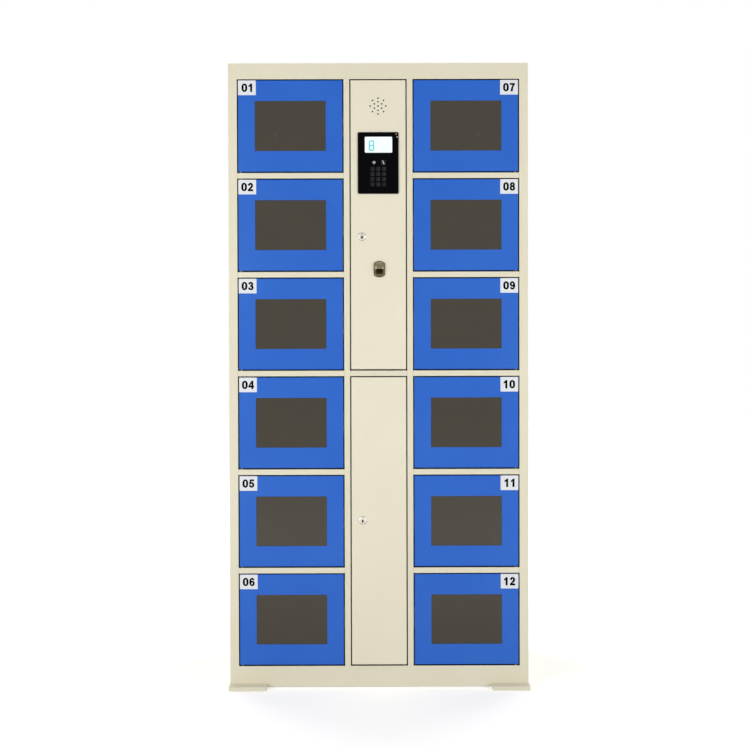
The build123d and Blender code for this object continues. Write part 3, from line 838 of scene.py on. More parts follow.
# Plain bold figures, each as closed loops of points and bows: the outline, then its counters.
# A cross and a tick, for the cancel and enter keys, stand under the letters x and v, and the
# arrow and the slanting bar over the keys under a and c.
FIGURES = {
    "0": (
        (Bow(33, 62, 33, 38, 0, 180), Bow(33, 38, 33, 38, 180, 360)),
        (Bow(33, 62, 12.5, 22, 0, 180), Bow(33, 38, 12.5, 22, 180, 360)),
    ),
    "1": (
        ((28, 0), (48, 0), (48, 100), (31, 100), (27, 91), (19, 84), (8, 79))
        + ((8, 62), (18, 66), (28, 73)),
    ),
    "2": (
        (Bow(33, 69, 29.5, 31, 178, -38), (47, 37), (33, 25), (29, 18), (64, 18), (64, 0))
        + ((1, 0), (3, 10), (9, 22), (21, 35), Bow(33, 69, 9.5, 14, -38, 178)),
    ),
    "3": (
        (Bow(32, 73.5, 28, 26.5, 176, -52), Bow(32.5, 29.5, 32, 29.5, 50, -176))
        + (Bow(32.5, 29, 12, 13.5, 180, 450), (25, 43), (26, 58))
        + (Bow(32, 72, 9.5, 12.5, -90, 176),),
    ),
    "4": (
        ((38, 0), (57, 0), (57, 20.5), (66, 20.5), (66, 37), (57, 37), (57, 100), (40, 100))
        + ((1, 38), (1, 20.5), (38, 20.5)),
        ((38, 37), (38, 71), (17, 37)),
    ),
    "5": (
        ((60, 99), (13, 99), (4, 47), Bow(32, 33, 12, 17.5, 150, -172))
        + (Bow(32, 33, 31.5, 33, 190, 468), (25.5, 82), (60, 82)),
    ),
    "6": (
        (Bow(34, 70, 27, 30, 8, 90), Bow(34, 50, 33, 50, 90, 270))
        + (Bow(34, 31.5, 31, 31.5, -90, 112), Bow(34.5, 66, 12.5, 17.5, 180, 20)),
        (Bow(34, 31.5, 12, 16, 0, 360),),
    ),
    "7": (
        ((3, 99), (63, 99), (63, 85), (50, 66), (40, 42), (35, 0), (14, 0), (18, 27))
        + ((27, 56), (42, 81.5), (3, 81.5)),
    ),
    "8": (
        (Bow(33, 73.5, 28.5, 26.5, -48, 228), Bow(33, 29.5, 31.5, 29.5, 132, 408)),
        (Bow(33, 73, 10, 12, 0, 360),),
        (Bow(33, 30, 12, 14.5, 0, 360),),
    ),
    "x": (
        ((5, 25), (17, 13), (33, 37), (49, 13), (61, 25), (45, 50), (61, 75), (49, 87))
        + ((33, 63), (17, 87), (5, 75), (21, 50)),
    ),
    "v": (((2, 45), (14, 57), (28, 35), (53, 88), (65, 80), (30, 8)),),
    "a": (((0, 39), (30, 39), (30, 10), (66, 50), (30, 90), (30, 61), (0, 61)),),
    "c": (((0, 96), (30, 96), (66, 4), (36, 4)),),
}


def bolder(loops: list[np.ndarray], by: float) -> list[np.ndarray]:
    """Embolden a figure: its outline grows outwards and its counters shrink.

    Each point moves along the sum of its two edges' normals, over one plus the cosine of the
    turn between them, so each edge moves by the same distance.

    Args:
        loops: the outline, then the counters.
        by: how far the edges move.

    Returns:
        The moved loops.
    """
    moved = []
    for number, loop in enumerate(loops):
        before, after = np.roll(loop, 1, axis=0), np.roll(loop, -1, axis=0)
        area = (loop[:, 0] * after[:, 1] - after[:, 0] * loop[:, 1]).sum()
        way = np.sign(area) * (by if number == 0 else -by)
        normals = []
        for edge in (loop - before, after - loop):
            edge = edge / np.linalg.norm(edge, axis=1, keepdims=True)
            normals.append(np.stack((edge[:, 1], -edge[:, 0]), axis=1))
        cosine = (normals[0] * normals[1]).sum(axis=1, keepdims=True)
        moved.append(loop + way * (normals[0] + normals[1]) / np.maximum(1 + cosine, 0.5))
    return moved


def figure(character: str) -> list[np.ndarray]:
    """Draw a figure's closed loops; a nine is a six turned half way round in its field.

    Args:
        character: a key of FIGURES, or a nine.

    Returns:
        The outline's points, then those of its counters.
    """
    if character == "9":
        return [np.array(FIELD) - loop for loop in figure("6")]
    loops = []
    for outline in FIGURES[character]:
        parts = [part.points() if isinstance(part, Bow) else np.array([part]) for part in outline]
        points = np.concatenate(parts).astype(float)
        apart = np.linalg.norm(points - np.roll(points, -1, axis=0), axis=1) > 0.01
        loops.append(points[apart])
    return loops


def numerals(
    text: str, height: float, facing: Facing, middle: np.ndarray, rise: float
) -> bpy.types.Mesh:
    """Make plain bold figures or icons as a mesh: each outline filled, and carried outwards.

    Args:
        text: the figures' or icons' characters.
        height: how high they are.
        facing: which way they look.
        middle: the middle of their back in space.
        rise: how far they stand out.

    Returns:
        A mesh in metres.
    """
    curve = bpy.data.curves.new(text, "CURVE")
    curve.dimensions = "2D"
    curve.fill_mode = "BOTH"
    curve.extrude = 0.5
    for index, character in enumerate(text):
        for loop in bolder(figure(character), FIELD_GROWTH):
            spline = curve.splines.new("POLY")
            spline.points.add(len(loop) - 1)
            rows = np.zeros((len(loop), 4))
            rows[:, :2] = loop + (index * (FIELD[0] + FIELD_GAP), 0)
            spline.points.foreach_set("co", rows.ravel())
            spline.use_cyclic_u = True
    source = bpy.data.objects.new(text, curve)
    mesh = bpy.data.meshes.new_from_object(source)
    bpy.data.objects.remove(source)
    points = np.empty(len(mesh.vertices) * 3)
    mesh.vertices.foreach_get("co", points)
    points = points.reshape(-1, 3)
    centre = (points.min(axis=0) + points.max(axis=0)) / 2
    flat = (points - centre)[:, :2] * height / (FIELD[1] + 2 * FIELD_GROWTH)
    placed = facing.place(flat, (points[:, 2] + 0.5) * rise, middle) * MM
    mesh.vertices.foreach_set("co", placed.ravel())
    mesh.update()
    return mesh


@dataclass(frozen=True)
class Place:
    """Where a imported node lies, in millimetres."""

    low: np.ndarray
    high: np.ndarray

    @staticmethod
    def of(node: str) -> "Place":
        """Read a node's place from the frame."""
        low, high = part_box(node)
        return Place(np.array(low) / MM, np.array(high) / MM)

    @property
    def middle(self) -> np.ndarray:
        """The middle of the box."""
        return (self.low + self.high) / 2

    @property
    def size(self) -> np.ndarray:
        """The box's width, depth and height."""
        return self.high - self.low


@dataclass
class Frame:
    """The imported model, and how its nodes are finished."""

    nodes: dict[str, bpy.types.Object]

    def finish(self, node: str, finish: Finish) -> None:
        """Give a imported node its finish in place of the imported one.

        Args:
            node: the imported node's name.
            finish: what it is made of.
        """
        materials = self.nodes[node].data.materials
        if not materials:
            materials.append(finish.material())
        for index in range(len(materials)):
            materials[index] = finish.material()
        LOG.info("%s: %s", node, finish.name)


@dataclass
class Cabinet:
    """The folded cabinet, its feet, pins and electric locks, and what is fixed to them."""

    frame: Frame
    rivet_radius: float = 3.2
    rivets: int = 7
    rivet_inset: float = 10.0
    lock_face: float = 1.5
    lock_screw_rises: tuple[float, float] = (-37.0, 37.0)
    lock_screw_depths: tuple[float, float] = (10.0, 50.0)
    lock_screw_radius: float = 3.0
    rivet_margin: float = 40.0
    tape_corner: float = 1.0
    tape_start: float = 1.6
    tape_end: float = 14.0
    tape_thickness: float = 0.8
    gaps: tuple[float, float, float] = (3.5, 4.0, 3.5)

    def build(self) -> None:
        """Finish the sheet metal and add its fasteners."""
        sheets = ("left_side", "right_side", "column_wall_left", "column_wall_right")
        panels = ("base_panel", "top_panel", "back_panel", "shelves", "feet")
        for node in sheets + panels:
            self.frame.finish(node, CREAM)
        self.frame.finish("hinge_pins", PIN_STEEL)
        self.frame.finish("electric_locks", LOCK_CASE)
        self.back_rivets()
        self.lock_screws()
        self.gap_shade_tapes()

    def gap_shade_tapes(self) -> None:
        """Line each opening's folded edge with a black strip, painted shade that darkens the gap.

        A tape is a ring of four loops: the opening's outline and one drawn in by the tape's
        thickness, each at the tape's start and end behind the front.
        """
        beside, below, above = self.gaps
        near, far, thick = -self.tape_start, -self.tape_end, self.tape_thickness
        steps = [(0.0, near), (0.0, far), (thick, far), (thick, near)]
        doors = [f"door_{number:02d}" for number in range(1, 2 * ROWS + 1)]
        front = Place.of("door_01").low[1]
        skins = []
        for node in doors + ["upper_door", "lower_door"]:
            door = Place.of(node)
            middle = np.array((door.middle[0], front, door.middle[2] + (above - below) / 2))
            width, height = door.size[0] + 2 * beside, door.size[2] + below + above
            outline = RoundedRectangle(width, height, self.tape_corner)
            skins.append(slab(outline, steps, Facing.FRONT, middle, ring=True))
        # The strips are painted shade: they make each door's gap dark.
        Skin.joined(skins).piece("gap_shade_tapes", "cabinet", GAP_SHADE_TAPE, "black_plastic")
        LOG.info("gap_shade_tapes: %d openings", len(skins))

    def lock_screws(self) -> None:
        """Screw each electric lock's plate to the column's wall, above and below its case."""
        locks = Place.of("electric_locks")
        skins = []
        for number in range(1, 2 * ROWS + 1):
            door = Place.of(f"door_{number:02d}")
            left = number <= ROWS
            facing = Facing.LEFT if left else Facing.RIGHT
            wall = Place.of("column_wall_left" if left else "column_wall_right")
            x = wall.low[0] - self.lock_face if left else wall.high[0] + self.lock_face
            for depth in self.lock_screw_depths:
                for rise in self.lock_screw_rises:
                    spot = np.array((x, locks.low[1] + depth, door.middle[2] + rise))
                    skins.append(screw_head(facing, spot, self.lock_screw_radius))
        Skin.joined(skins).piece("lock_screws", "cabinet", STEEL_SCREW, "zinc_steel")
        LOG.info("lock_screws: %d screws", len(skins))

    def back_rivets(self) -> None:
        """Rivet the back panel's two upright edges: flat domes in an even row on each flange."""
        outer = Place.of("left_side")
        back = Place.of("back_panel")
        margin, radius = self.rivet_margin, self.rivet_radius
        levels = np.linspace(back.low[2] + margin, back.high[2] - margin, self.rivets)
        dome = [(radius, 0.0), (radius * 0.9, 0.5), (radius * 0.5, 0.85), (radius * 0.3, 0.6)]
        skins = []
        for side in (-1, 1):
            x = side * (-outer.low[0] - self.rivet_inset)
            for level in levels:
                middle = np.array((x, outer.high[1], level))
                skins.append(turned(dome, Facing.BACK, middle))
        Skin.joined(skins).piece("back_rivets", "cabinet", STEEL_SCREW, "zinc_steel")
        LOG.info("back_rivets: %d rivets", len(skins))


@dataclass
class CompartmentDoor:
    """One window door: its finishes, its number plate and the screws of its pane's frame."""

    frame: Frame
    number: int
    plate_width: float = 53.5
    plate_height: float = 44.0
    plate_corner: float = 1.5
    plate_thickness: float = 0.8
    plate_margin: float = 0.15
    figures_height: float = 25.2
    ink_thickness: float = 0.12
    rim_middle: float = 3.3
    rim_depth: float = 1.5
    screw_radius: float = 2.2

    @property
    def name(self) -> str:
        """The door's name, which is also its body's."""
        return f"door_{self.number:02d}"

    def build(self) -> None:
        """Finish the door's nodes and add its plate and screws."""
        self.frame.finish(self.name, BLUE)
        self.frame.finish(f"{self.name}_window", SMOKED)
        self.frame.finish(f"{self.name}_fittings", ZINC)
        self.number_plate()
        self.pane_screws()
        LOG.info("%s: plate, figures and screws", self.name)

    def number_plate(self) -> None:
        """Set the plate in the door's upper corner away from the column, and print its number."""
        door = Place.of(self.name)
        side = -1 if self.number <= ROWS else 1
        edge = door.low[0] if side < 0 else door.high[0]
        x = edge - side * (self.plate_width / 2 + self.plate_margin)
        z = door.high[2] - self.plate_height / 2 - self.plate_margin
        middle = np.array((x, door.low[1], z))
        outline = RoundedRectangle(self.plate_width, self.plate_height, self.plate_corner)
        thick = self.plate_thickness
        bevel = thick / 2
        steps = [(0, 0), (0, thick - bevel), (bevel, thick)]
        plate = slab(outline, steps, Facing.FRONT, middle)
        plate.piece(f"number_plate_{self.number:02d}", self.name, PLATE, "blue_enamel")
        front = middle - (0, thick, 0)
        figures = f"{self.number:02d}"
        mesh = numerals(figures, self.figures_height, Facing.FRONT, front, self.ink_thickness)
        dressed(mesh, f"number_{figures}", self.name, PLATE_INK)

    def pane_screws(self) -> None:
        """Screw the pane's frame to the door at its corners and half way along it."""
        pane = Place.of(f"{self.name}_window")
        reach = pane.size / 2 + self.rim_middle
        skins = []
        for across in (-1, 0, 1):
            for up in (-1, 1):
                spot = pane.middle + (across * reach[0], 0, up * reach[2])
                spot[1] = pane.high[1] + self.rim_depth
                skins.append(screw_head(Facing.BACK, spot, self.screw_radius))
        name = f"{self.name}_screws"
        Skin.joined(skins).piece(name, self.name, STEEL_SCREW, "zinc_steel")


@dataclass
class CamLock:
    """A cam lock as bought: domed flange, threaded barrel, nut, plug with a keyway, and cam."""

    door: str
    turning_body: str
    barrel_node: str
    cam_node: str
    flange_radius: float = 11.6
    flange_reach: float = 2.6
    marked: bool = False
    mark_level: float = 9.0
    mark_radius: float = 1.4
    barrel_radius: float = 9.5
    thread_pitch: float = 1.0
    thread_depth: float = 0.35
    thread_start: float = 0.3
    flats: float = 16.5
    nut_radius: float = 12.0
    nut_near: float = 1.0
    nut_far: float = 5.0
    running_gap: float = 0.15
    plug_radius: float = 7.0
    plug_recess: float = 0.4
    key_width: float = 4.6
    key_height: float = 8.4
    key_depth: float = 9.0
    key_drop: float = 2.4
    keyway_shade_depth: float = 2.0
    rim_shade_radius: float = 12.5
    rim_shade_thickness: float = 0.5
    cam_width: float = 15.0
    cam_corner: float = 4.0
    cam_thickness: float = 2.5
    tang: float = 7.0
    face: float = field(init=False)
    back: float = field(init=False)
    middle: np.ndarray = field(init=False)
    cam_low: float = field(init=False)
    cam_back: float = field(init=False)

    def __post_init__(self) -> None:
        """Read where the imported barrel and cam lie."""
        barrel, cam = Place.of(self.barrel_node), Place.of(self.cam_node)
        self.face = barrel.low[1] + self.flange_reach
        self.back = barrel.high[1]
        self.middle = np.array((barrel.middle[0], self.face, barrel.middle[2]))
        self.cam_low = cam.low[2]
        self.cam_back = cam.high[1]

    def build(self) -> None:
        """Make the still part on the door and the turning part on its own body."""
        case = Skin.joined([self.barrel(), self.flange(), self.nut()])
        still = (self.barrel_node, self.door)
        turning = (self.cam_node, self.turning_body)
        parts = [
            (still, "case", case, NICKEL, "lock_chrome"),
            # The dark ring under the flange is painted shade round its rim.
            (still, "washer", self.washer(), MARK_AND_RIM_SHADE_STEEL, "zinc_steel"),
            (turning, "plug", self.plug(), NICKEL, "lock_chrome"),
            (turning, "arm", self.arm(), ZINC, "zinc_steel"),
            # The black slab in the keyway is painted shade.
            (turning, "shutter", self.shutter(), KEYWAY_SHADE, "black_plastic"),
        ]
        if self.marked:
            parts.append((still, "mark", self.mark(), MARK_AND_RIM_SHADE_STEEL, "lock_chrome"))
        for (node, body), name, skin, finish, slot in parts:
            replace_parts(skin.piece(f"{node}_{name}", body, finish, slot), node)
        LOG.info("%s: flange, washer, barrel, nut, plug, shutter and arm", self.door)

    def washer(self) -> Skin:
        """Turn a thin dark ring under the flange, painted shade that shows as a dark line round its
        rim.

        Returns:
            A closed ring.
        """
        inner, outer = self.barrel_radius + 0.1, self.rim_shade_radius
        thick, edge = self.rim_shade_thickness, 0.2
        profile = [(inner, 0.0), (inner, thick), (outer - edge, thick), (outer, thick - edge)]
        return turned(profile + [(outer, 0.0)], Facing.FRONT, self.middle, ring=True)

    def mark(self) -> Skin:
        """Raise a small dot on the flange over the plug, which marks the locked place.

        Returns:
            A closed skin.
        """
        spot = self.middle + (0, 0, self.mark_level)
        radius, reach = self.mark_radius, self.flange_reach
        dot = [(radius, reach - 0.5), (radius, reach + 0.1), (radius - 0.2, reach + 0.2)]
        return turned(dot, Facing.FRONT, spot)

    def keyway(self, tighter: float = 0.0, corner: float = 0.6) -> RoundedRectangle:
        """Return the keyway's outline below the plug's middle, or one a little tighter."""
        width, height = self.key_width - tighter, self.key_height - tighter
        return RoundedRectangle(width, height, corner, (0.0, -self.key_drop))

    def shutter(self) -> Skin:
        """Fill the keyway with a black slab a little below the plug's face, painted shade in the
        keyway.

        Returns:
            A closed skin.
        """
        front = self.flange_reach - self.plug_recess - self.keyway_shade_depth
        steps = [(0.0, front - 1.0), (0.0, front - 0.3), (0.4, front)]
        return slab(self.keyway(0.1, 0.5), steps, Facing.FRONT, self.middle)

    def flange(self) -> Skin:
        """Turn the flange: a ring whose face is domed and whose rim is rounded over.

        Returns:
            A closed ring.
        """
        radius, reach = self.flange_radius, self.flange_reach
        bore, seat = self.plug_radius + self.running_gap, self.rim_shade_thickness
        profile = [(bore, seat), (bore, reach - 0.35), (bore + 0.35, reach - 0.05)]
        profile += [(radius * 0.8, reach), (radius * 0.92, reach * 0.82), (radius, reach * 0.5)]
        profile += [(radius, seat + 0.05), (radius - 0.3, seat)]
        return turned(profile, Facing.FRONT, self.middle, ring=True)

    def barrel(self) -> Skin:
        """Cut the thread: a grid of depth and angle, whose radius falls along a helix.

        The radius is the barrel's, less the thread's depth times the triangle wave of the turns
        counted along the depth less the turns of the angle. Two flats clip it above and below.

        Returns:
            A closed tube.
        """
        length = self.back - self.face
        depth = np.append(np.arange(self.thread_start, length, self.thread_pitch / 4), length)
        angle = around(ROUND_STEPS)
        turns = depth[:, None] / self.thread_pitch - angle[None, :] / (2 * np.pi)
        groove = np.abs((turns % 1.0) * 2 - 1)
        radius = self.barrel_radius - self.thread_depth * groove
        flat = radius[..., None] * circle(angle)
        flat[..., 1] = np.clip(flat[..., 1], -self.flats / 2, self.flats / 2)
        outside = Facing.FRONT.place(flat, -depth[:, None], self.middle)
        bore = Round(self.plug_radius + self.running_gap).loop()
        ends = np.array([[-length], [-self.thread_start]])
        inside = Facing.FRONT.place(np.stack((bore, bore)), ends, self.middle)
        return Skin.lofted(np.concatenate((outside, inside)), ring=True)

    def nut(self) -> Skin:
        """Form the nut behind the sheet: a hexagon carried along its depth, with a round bore.

        Returns:
            A closed ring.
        """
        outside, bore = Round(self.nut_radius, hexagon=True), Round(self.barrel_radius + 0.05)
        near, far, bevel = -self.nut_near, -self.nut_far, 0.5
        parts = [(outside, bevel, near), (outside, 0.0, near - bevel), (outside, 0.0, far + bevel)]
        parts += [(outside, bevel, far), (bore, 0.0, far), (bore, 0.0, near)]
        return carried(parts, Facing.FRONT, self.middle, ring=True)

    def plug(self) -> Skin:
        """Loft the plug from its back to its face, and on down into the keyway.

        Every loop has its points at the same steps, so a circle passes over into the keyway's
        rounded oblong without a twist.

        Returns:
            A closed skin.
        """
        radius, key = self.plug_radius, self.keyway()
        disc = RoundedRectangle(2 * radius, 2 * radius, radius)
        face = self.flange_reach - self.plug_recess
        back = self.face - self.cam_back + self.cam_thickness
        parts = [(disc, 0.0, back), (disc, 0.0, face - 0.4), (disc, 0.4, face)]
        parts += [(key, -0.5, face), (key, 0.0, face - 0.5), (key, 0.0, face - self.key_depth)]
        return carried(parts, Facing.FRONT, self.middle)

    def arm(self) -> Skin:
        """Form the cam: a rounded head about the plug, with a straight arm that hangs down.

        Returns:
            The cam's plate and the plug's tang through it.
        """
        reach, head = self.middle[2] - self.cam_low, self.cam_width / 2
        middle = (0.0, (head - reach) / 2)
        outline = RoundedRectangle(self.cam_width, head + reach, self.cam_corner, middle)
        far = self.face - self.cam_back
        near = far + self.cam_thickness - 0.1
        steps = [(0.4, near - 0.1), (0.0, near - 0.5), (0.0, far + 2.4), (0.4, far + 2.0)]
        plate = slab(outline, steps, Facing.FRONT, self.middle)
        tang = RoundedRectangle(self.tang, self.tang, 0.5)
        stub = slab(tang, [(0, near), (0, far + 0.3), (0.3, far)], Facing.FRONT, self.middle)
        return Skin.joined([plate, stub])


@dataclass
class FingerprintReader:
    """The reader: a flange with two flats, a hood with two cheeks over the slot, and the sensor.

    Heights stand out from the door, and places are right of and above the reader's middle.
    """

    node: str = "fingerprint_reader"
    body: str = "upper_service_door"
    radius: float = 24.8
    width: float = 34.6
    flange: float = 2.2
    hood_height: float = 12.2
    hood_top: float = 21.6
    hood_arc: float = 22.4
    hood_half: float = 14.6
    mouth_half: float = 9.8
    mouth_low: float = -12.2
    cheek_end: float = -17.0
    chin_half: float = 13.8
    chin_flare: float = 3.0
    chin_height: float = 6.0
    floor: float = 2.4
    under: float = 1.0
    lip_height: float = 2.0
    lip_inset: float = 1.2
    collar: float = 14.0
    face: float = field(init=False)
    back: float = field(init=False)
    middle: np.ndarray = field(init=False)

    def __post_init__(self) -> None:
        """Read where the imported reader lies."""
        box = Place.of(self.node)
        self.face = box.low[1] + self.hood_height
        self.back = box.high[1]
        self.middle = np.array((box.middle[0], self.face, box.middle[2]))

    def build(self) -> None:
        """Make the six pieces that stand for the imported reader."""
        parts = (
            ("reader_flange", Skin.joined([self.plate(), self.stem()]), READER_FLANGE_AND_CHEEK_SHADE),
            ("reader_hood", self.hood(self.hood_rows()), READER_HOOD),
            # The cheeks take the flange's darker finish as painted shade beside the mouth.
            ("reader_cheeks", self.hood(self.cheek_rows()), READER_FLANGE_AND_CHEEK_SHADE),
            # The chin's darker copy of the hood's gunmetal is painted shade.
            ("reader_chin", self.chin(), READER_CHIN_SHADE),
            # The lip's pale finish is a painted highlight on the hood's edge.
            ("reader_lip", self.lip(), READER_LIP_HIGHLIGHT),
            ("reader_sensor", self.sensor(), SENSOR),
        )
        for name, skin, finish in parts:
            slot = "terminal_glass" if finish is SENSOR else "reader_metal"
            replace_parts(skin.piece(name, self.body, finish, slot), self.node)
        LOG.info("%s: flange, hood, cheeks, chin, lip and sensor", self.node)

    def plate(self) -> Skin:
        """Carry the flange's rounded edge round its outline, a circle with two flats.

        Returns:
            A closed skin.
        """
        outline = Round(self.radius, width=self.width)
        steps = [(0.0, 0.0), (0.0, self.flange - 1.0), (0.3, self.flange - 0.3)]
        steps += [(1.0, self.flange), (4.0, self.flange)]
        return slab(outline, steps, Facing.FRONT, self.middle)

    def hood_rows(self) -> np.ndarray:
        """Return the levels of the hood's grid, closer together towards its top."""
        return np.concatenate(((0.0,), self.hood_top * np.sin(np.linspace(0.04, np.pi / 2, 18))))

    def cheek_rows(self) -> np.ndarray:
        """Return the levels of the cheeks' grid, from their lower ends up to the hood."""
        return np.concatenate((np.linspace(self.cheek_end, -0.3, 12), (-0.02,)))

    def hood(self, upward: np.ndarray) -> Skin:
        """Raise the hood or its two cheeks as a height over a grid.

        The first parameter runs across, the second up the given levels. Over the mouth the
        height is a quarter ellipse that falls from the mouth's edge to the top, times a root of
        a sixth power that falls to each side. Beside the mouth it falls in a straight line to
        the cheeks' ends. Between the cheeks it lies at the floor. Where the flange's arch is
        narrower than the hood, each row is drawn in to stay inside it.

        Args:
            upward: the levels above the mouth's upper edge.

        Returns:
            A closed skin.
        """
        half, mouth = self.hood_half, self.mouth_half
        cheek = half - (half - mouth) * np.linspace(0, 1, 8) ** 1.5
        opening = np.linspace(-mouth + 0.08, mouth - 0.08, 17)
        across = np.concatenate((-cheek, opening, cheek[::-1]))
        x, z = np.meshgrid(across, upward, indexing="xy")
        side = np.clip(1 - (np.abs(x) / (half + 0.02)) ** 6, 0.0, 1.0) ** 0.5
        dome = np.sqrt(np.clip(1 - (z / (self.hood_top + 0.02)) ** 2, 0.0, 1.0))
        fall = np.clip((z - self.cheek_end) / -self.cheek_end, 0.0, 1.0)
        rise = (self.hood_height - self.flange) * side
        over = self.flange + rise * np.where(z >= 0, dome, fall)
        slot = (z < -0.01) & (np.abs(x) < mouth - 0.01)
        height = np.where(slot, self.floor, over)
        arch = np.sqrt(np.clip(self.hood_arc**2 - z**2, 1.0, None))
        x = x * np.minimum(1.0, arch / half)
        return self.raised(x, z, height)

    def chin(self) -> Skin:
        """Raise the chin as a height over a grid of two parameters.

        The first runs across and the second from the flange's lower arc up to the mouth. The
        height is half a sine wave over the second, drawn towards the mouth, times a root of a
        fourth power that falls to each side. The width grows a little downwards, and the lower
        edge follows the flange's arc, drawn in by its rounded edge.

        Returns:
            A closed skin.
        """
        share = np.linspace(-1, 1, 25)[None, :]
        along = np.linspace(0, 1, 18)[:, None]
        half = self.chin_half + self.chin_flare * (1 - along)
        x = share * half
        low = -np.sqrt((self.radius - 1.0) ** 2 - x**2)
        z = low + (self.mouth_low - low) * along
        bulge = np.sin(np.pi * along**1.4) ** 0.7
        side = np.clip(1 - np.abs(share) ** 4, 0.0, 1.0) ** 0.5
        height = self.flange - 0.1 + (self.chin_height - self.flange) * bulge * side
        return self.raised(x, z, height)

    def lip(self) -> Skin:
        """Carry a flat oval along the mouth's upper edge, for the hood's lip: its pale polish is a
        painted highlight on the edge.

        Returns:
            A closed skin.
        """
        thick = 0.55
        along = np.linspace(-1, 1, 15)[:, None]
        angle = around(16)[None, :]
        taper = np.sqrt(np.clip(1 - along**6, 0.02, 1.0))
        z = self.lip_height / 2 * (1 + taper * np.sin(angle))
        out = self.hood_height - thick + taper * thick * np.cos(angle)
        x = (self.mouth_half - self.lip_inset) * along + 0 * angle
        return Skin.lofted(Facing.FRONT.place(np.stack((x, z), axis=-1), out, self.middle))

    def sensor(self) -> Skin:
        """Carry an eased edge round the sensor's window on the slot's floor.

        Returns:
            A closed skin.
        """
        low = self.mouth_low + 0.4
        outline = RoundedRectangle(2 * self.mouth_half - 0.6, -low - 0.3, 1.0, (0.0, low / 2))
        steps = [(0.0, self.floor - 0.4), (0.0, self.floor + 0.2), (0.4, self.floor + 0.4)]
        return slab(outline, steps, Facing.FRONT, self.middle)

    def raised(self, x: np.ndarray, z: np.ndarray, height: np.ndarray) -> Skin:
        """Close a height over a grid with a flat underside and a wall along their border.

        Args:
            x: how far right of the middle each point lies.
            z: how far above it.
            height: how far each point stands out from the door.

        Returns:
            A closed skin.
        """
        flat = np.stack((x, z), axis=-1)
        top = Facing.FRONT.place(flat, height, self.middle)
        under = Facing.FRONT.place(flat, self.under, self.middle)
        index = np.arange(x.size).reshape(x.shape)
        upper = grid_faces(*x.shape)
        lower = upper[:, ::-1] + x.size
        right, left = index[1:, -1], index[-2:0:-1, 0]
        border = np.concatenate((index[0, :], right, index[-1, -2::-1], left))
        following = np.roll(border, -1)
        wall = np.stack((following, border, border + x.size, following + x.size), axis=1)
        points = np.concatenate((top.reshape(-1, 3), under.reshape(-1, 3)))
        return Skin(points, np.concatenate((upper, lower, wall)), np.empty((0, 3), int))

    def stem(self) -> Skin:
        """Turn the stem behind the door, with its ring nut.

        Returns:
            A closed skin.
        """
        depth = self.back - self.face
        radius = self.collar - 1.5
        profile = [(radius, 0.5), (radius, -1.0), (self.collar, -1.2), (self.collar, -6.0)]
        profile += [(radius, -6.2), (radius, 0.6 - depth), (radius - 0.6, -depth)]
        return turned(profile, Facing.FRONT, self.middle)


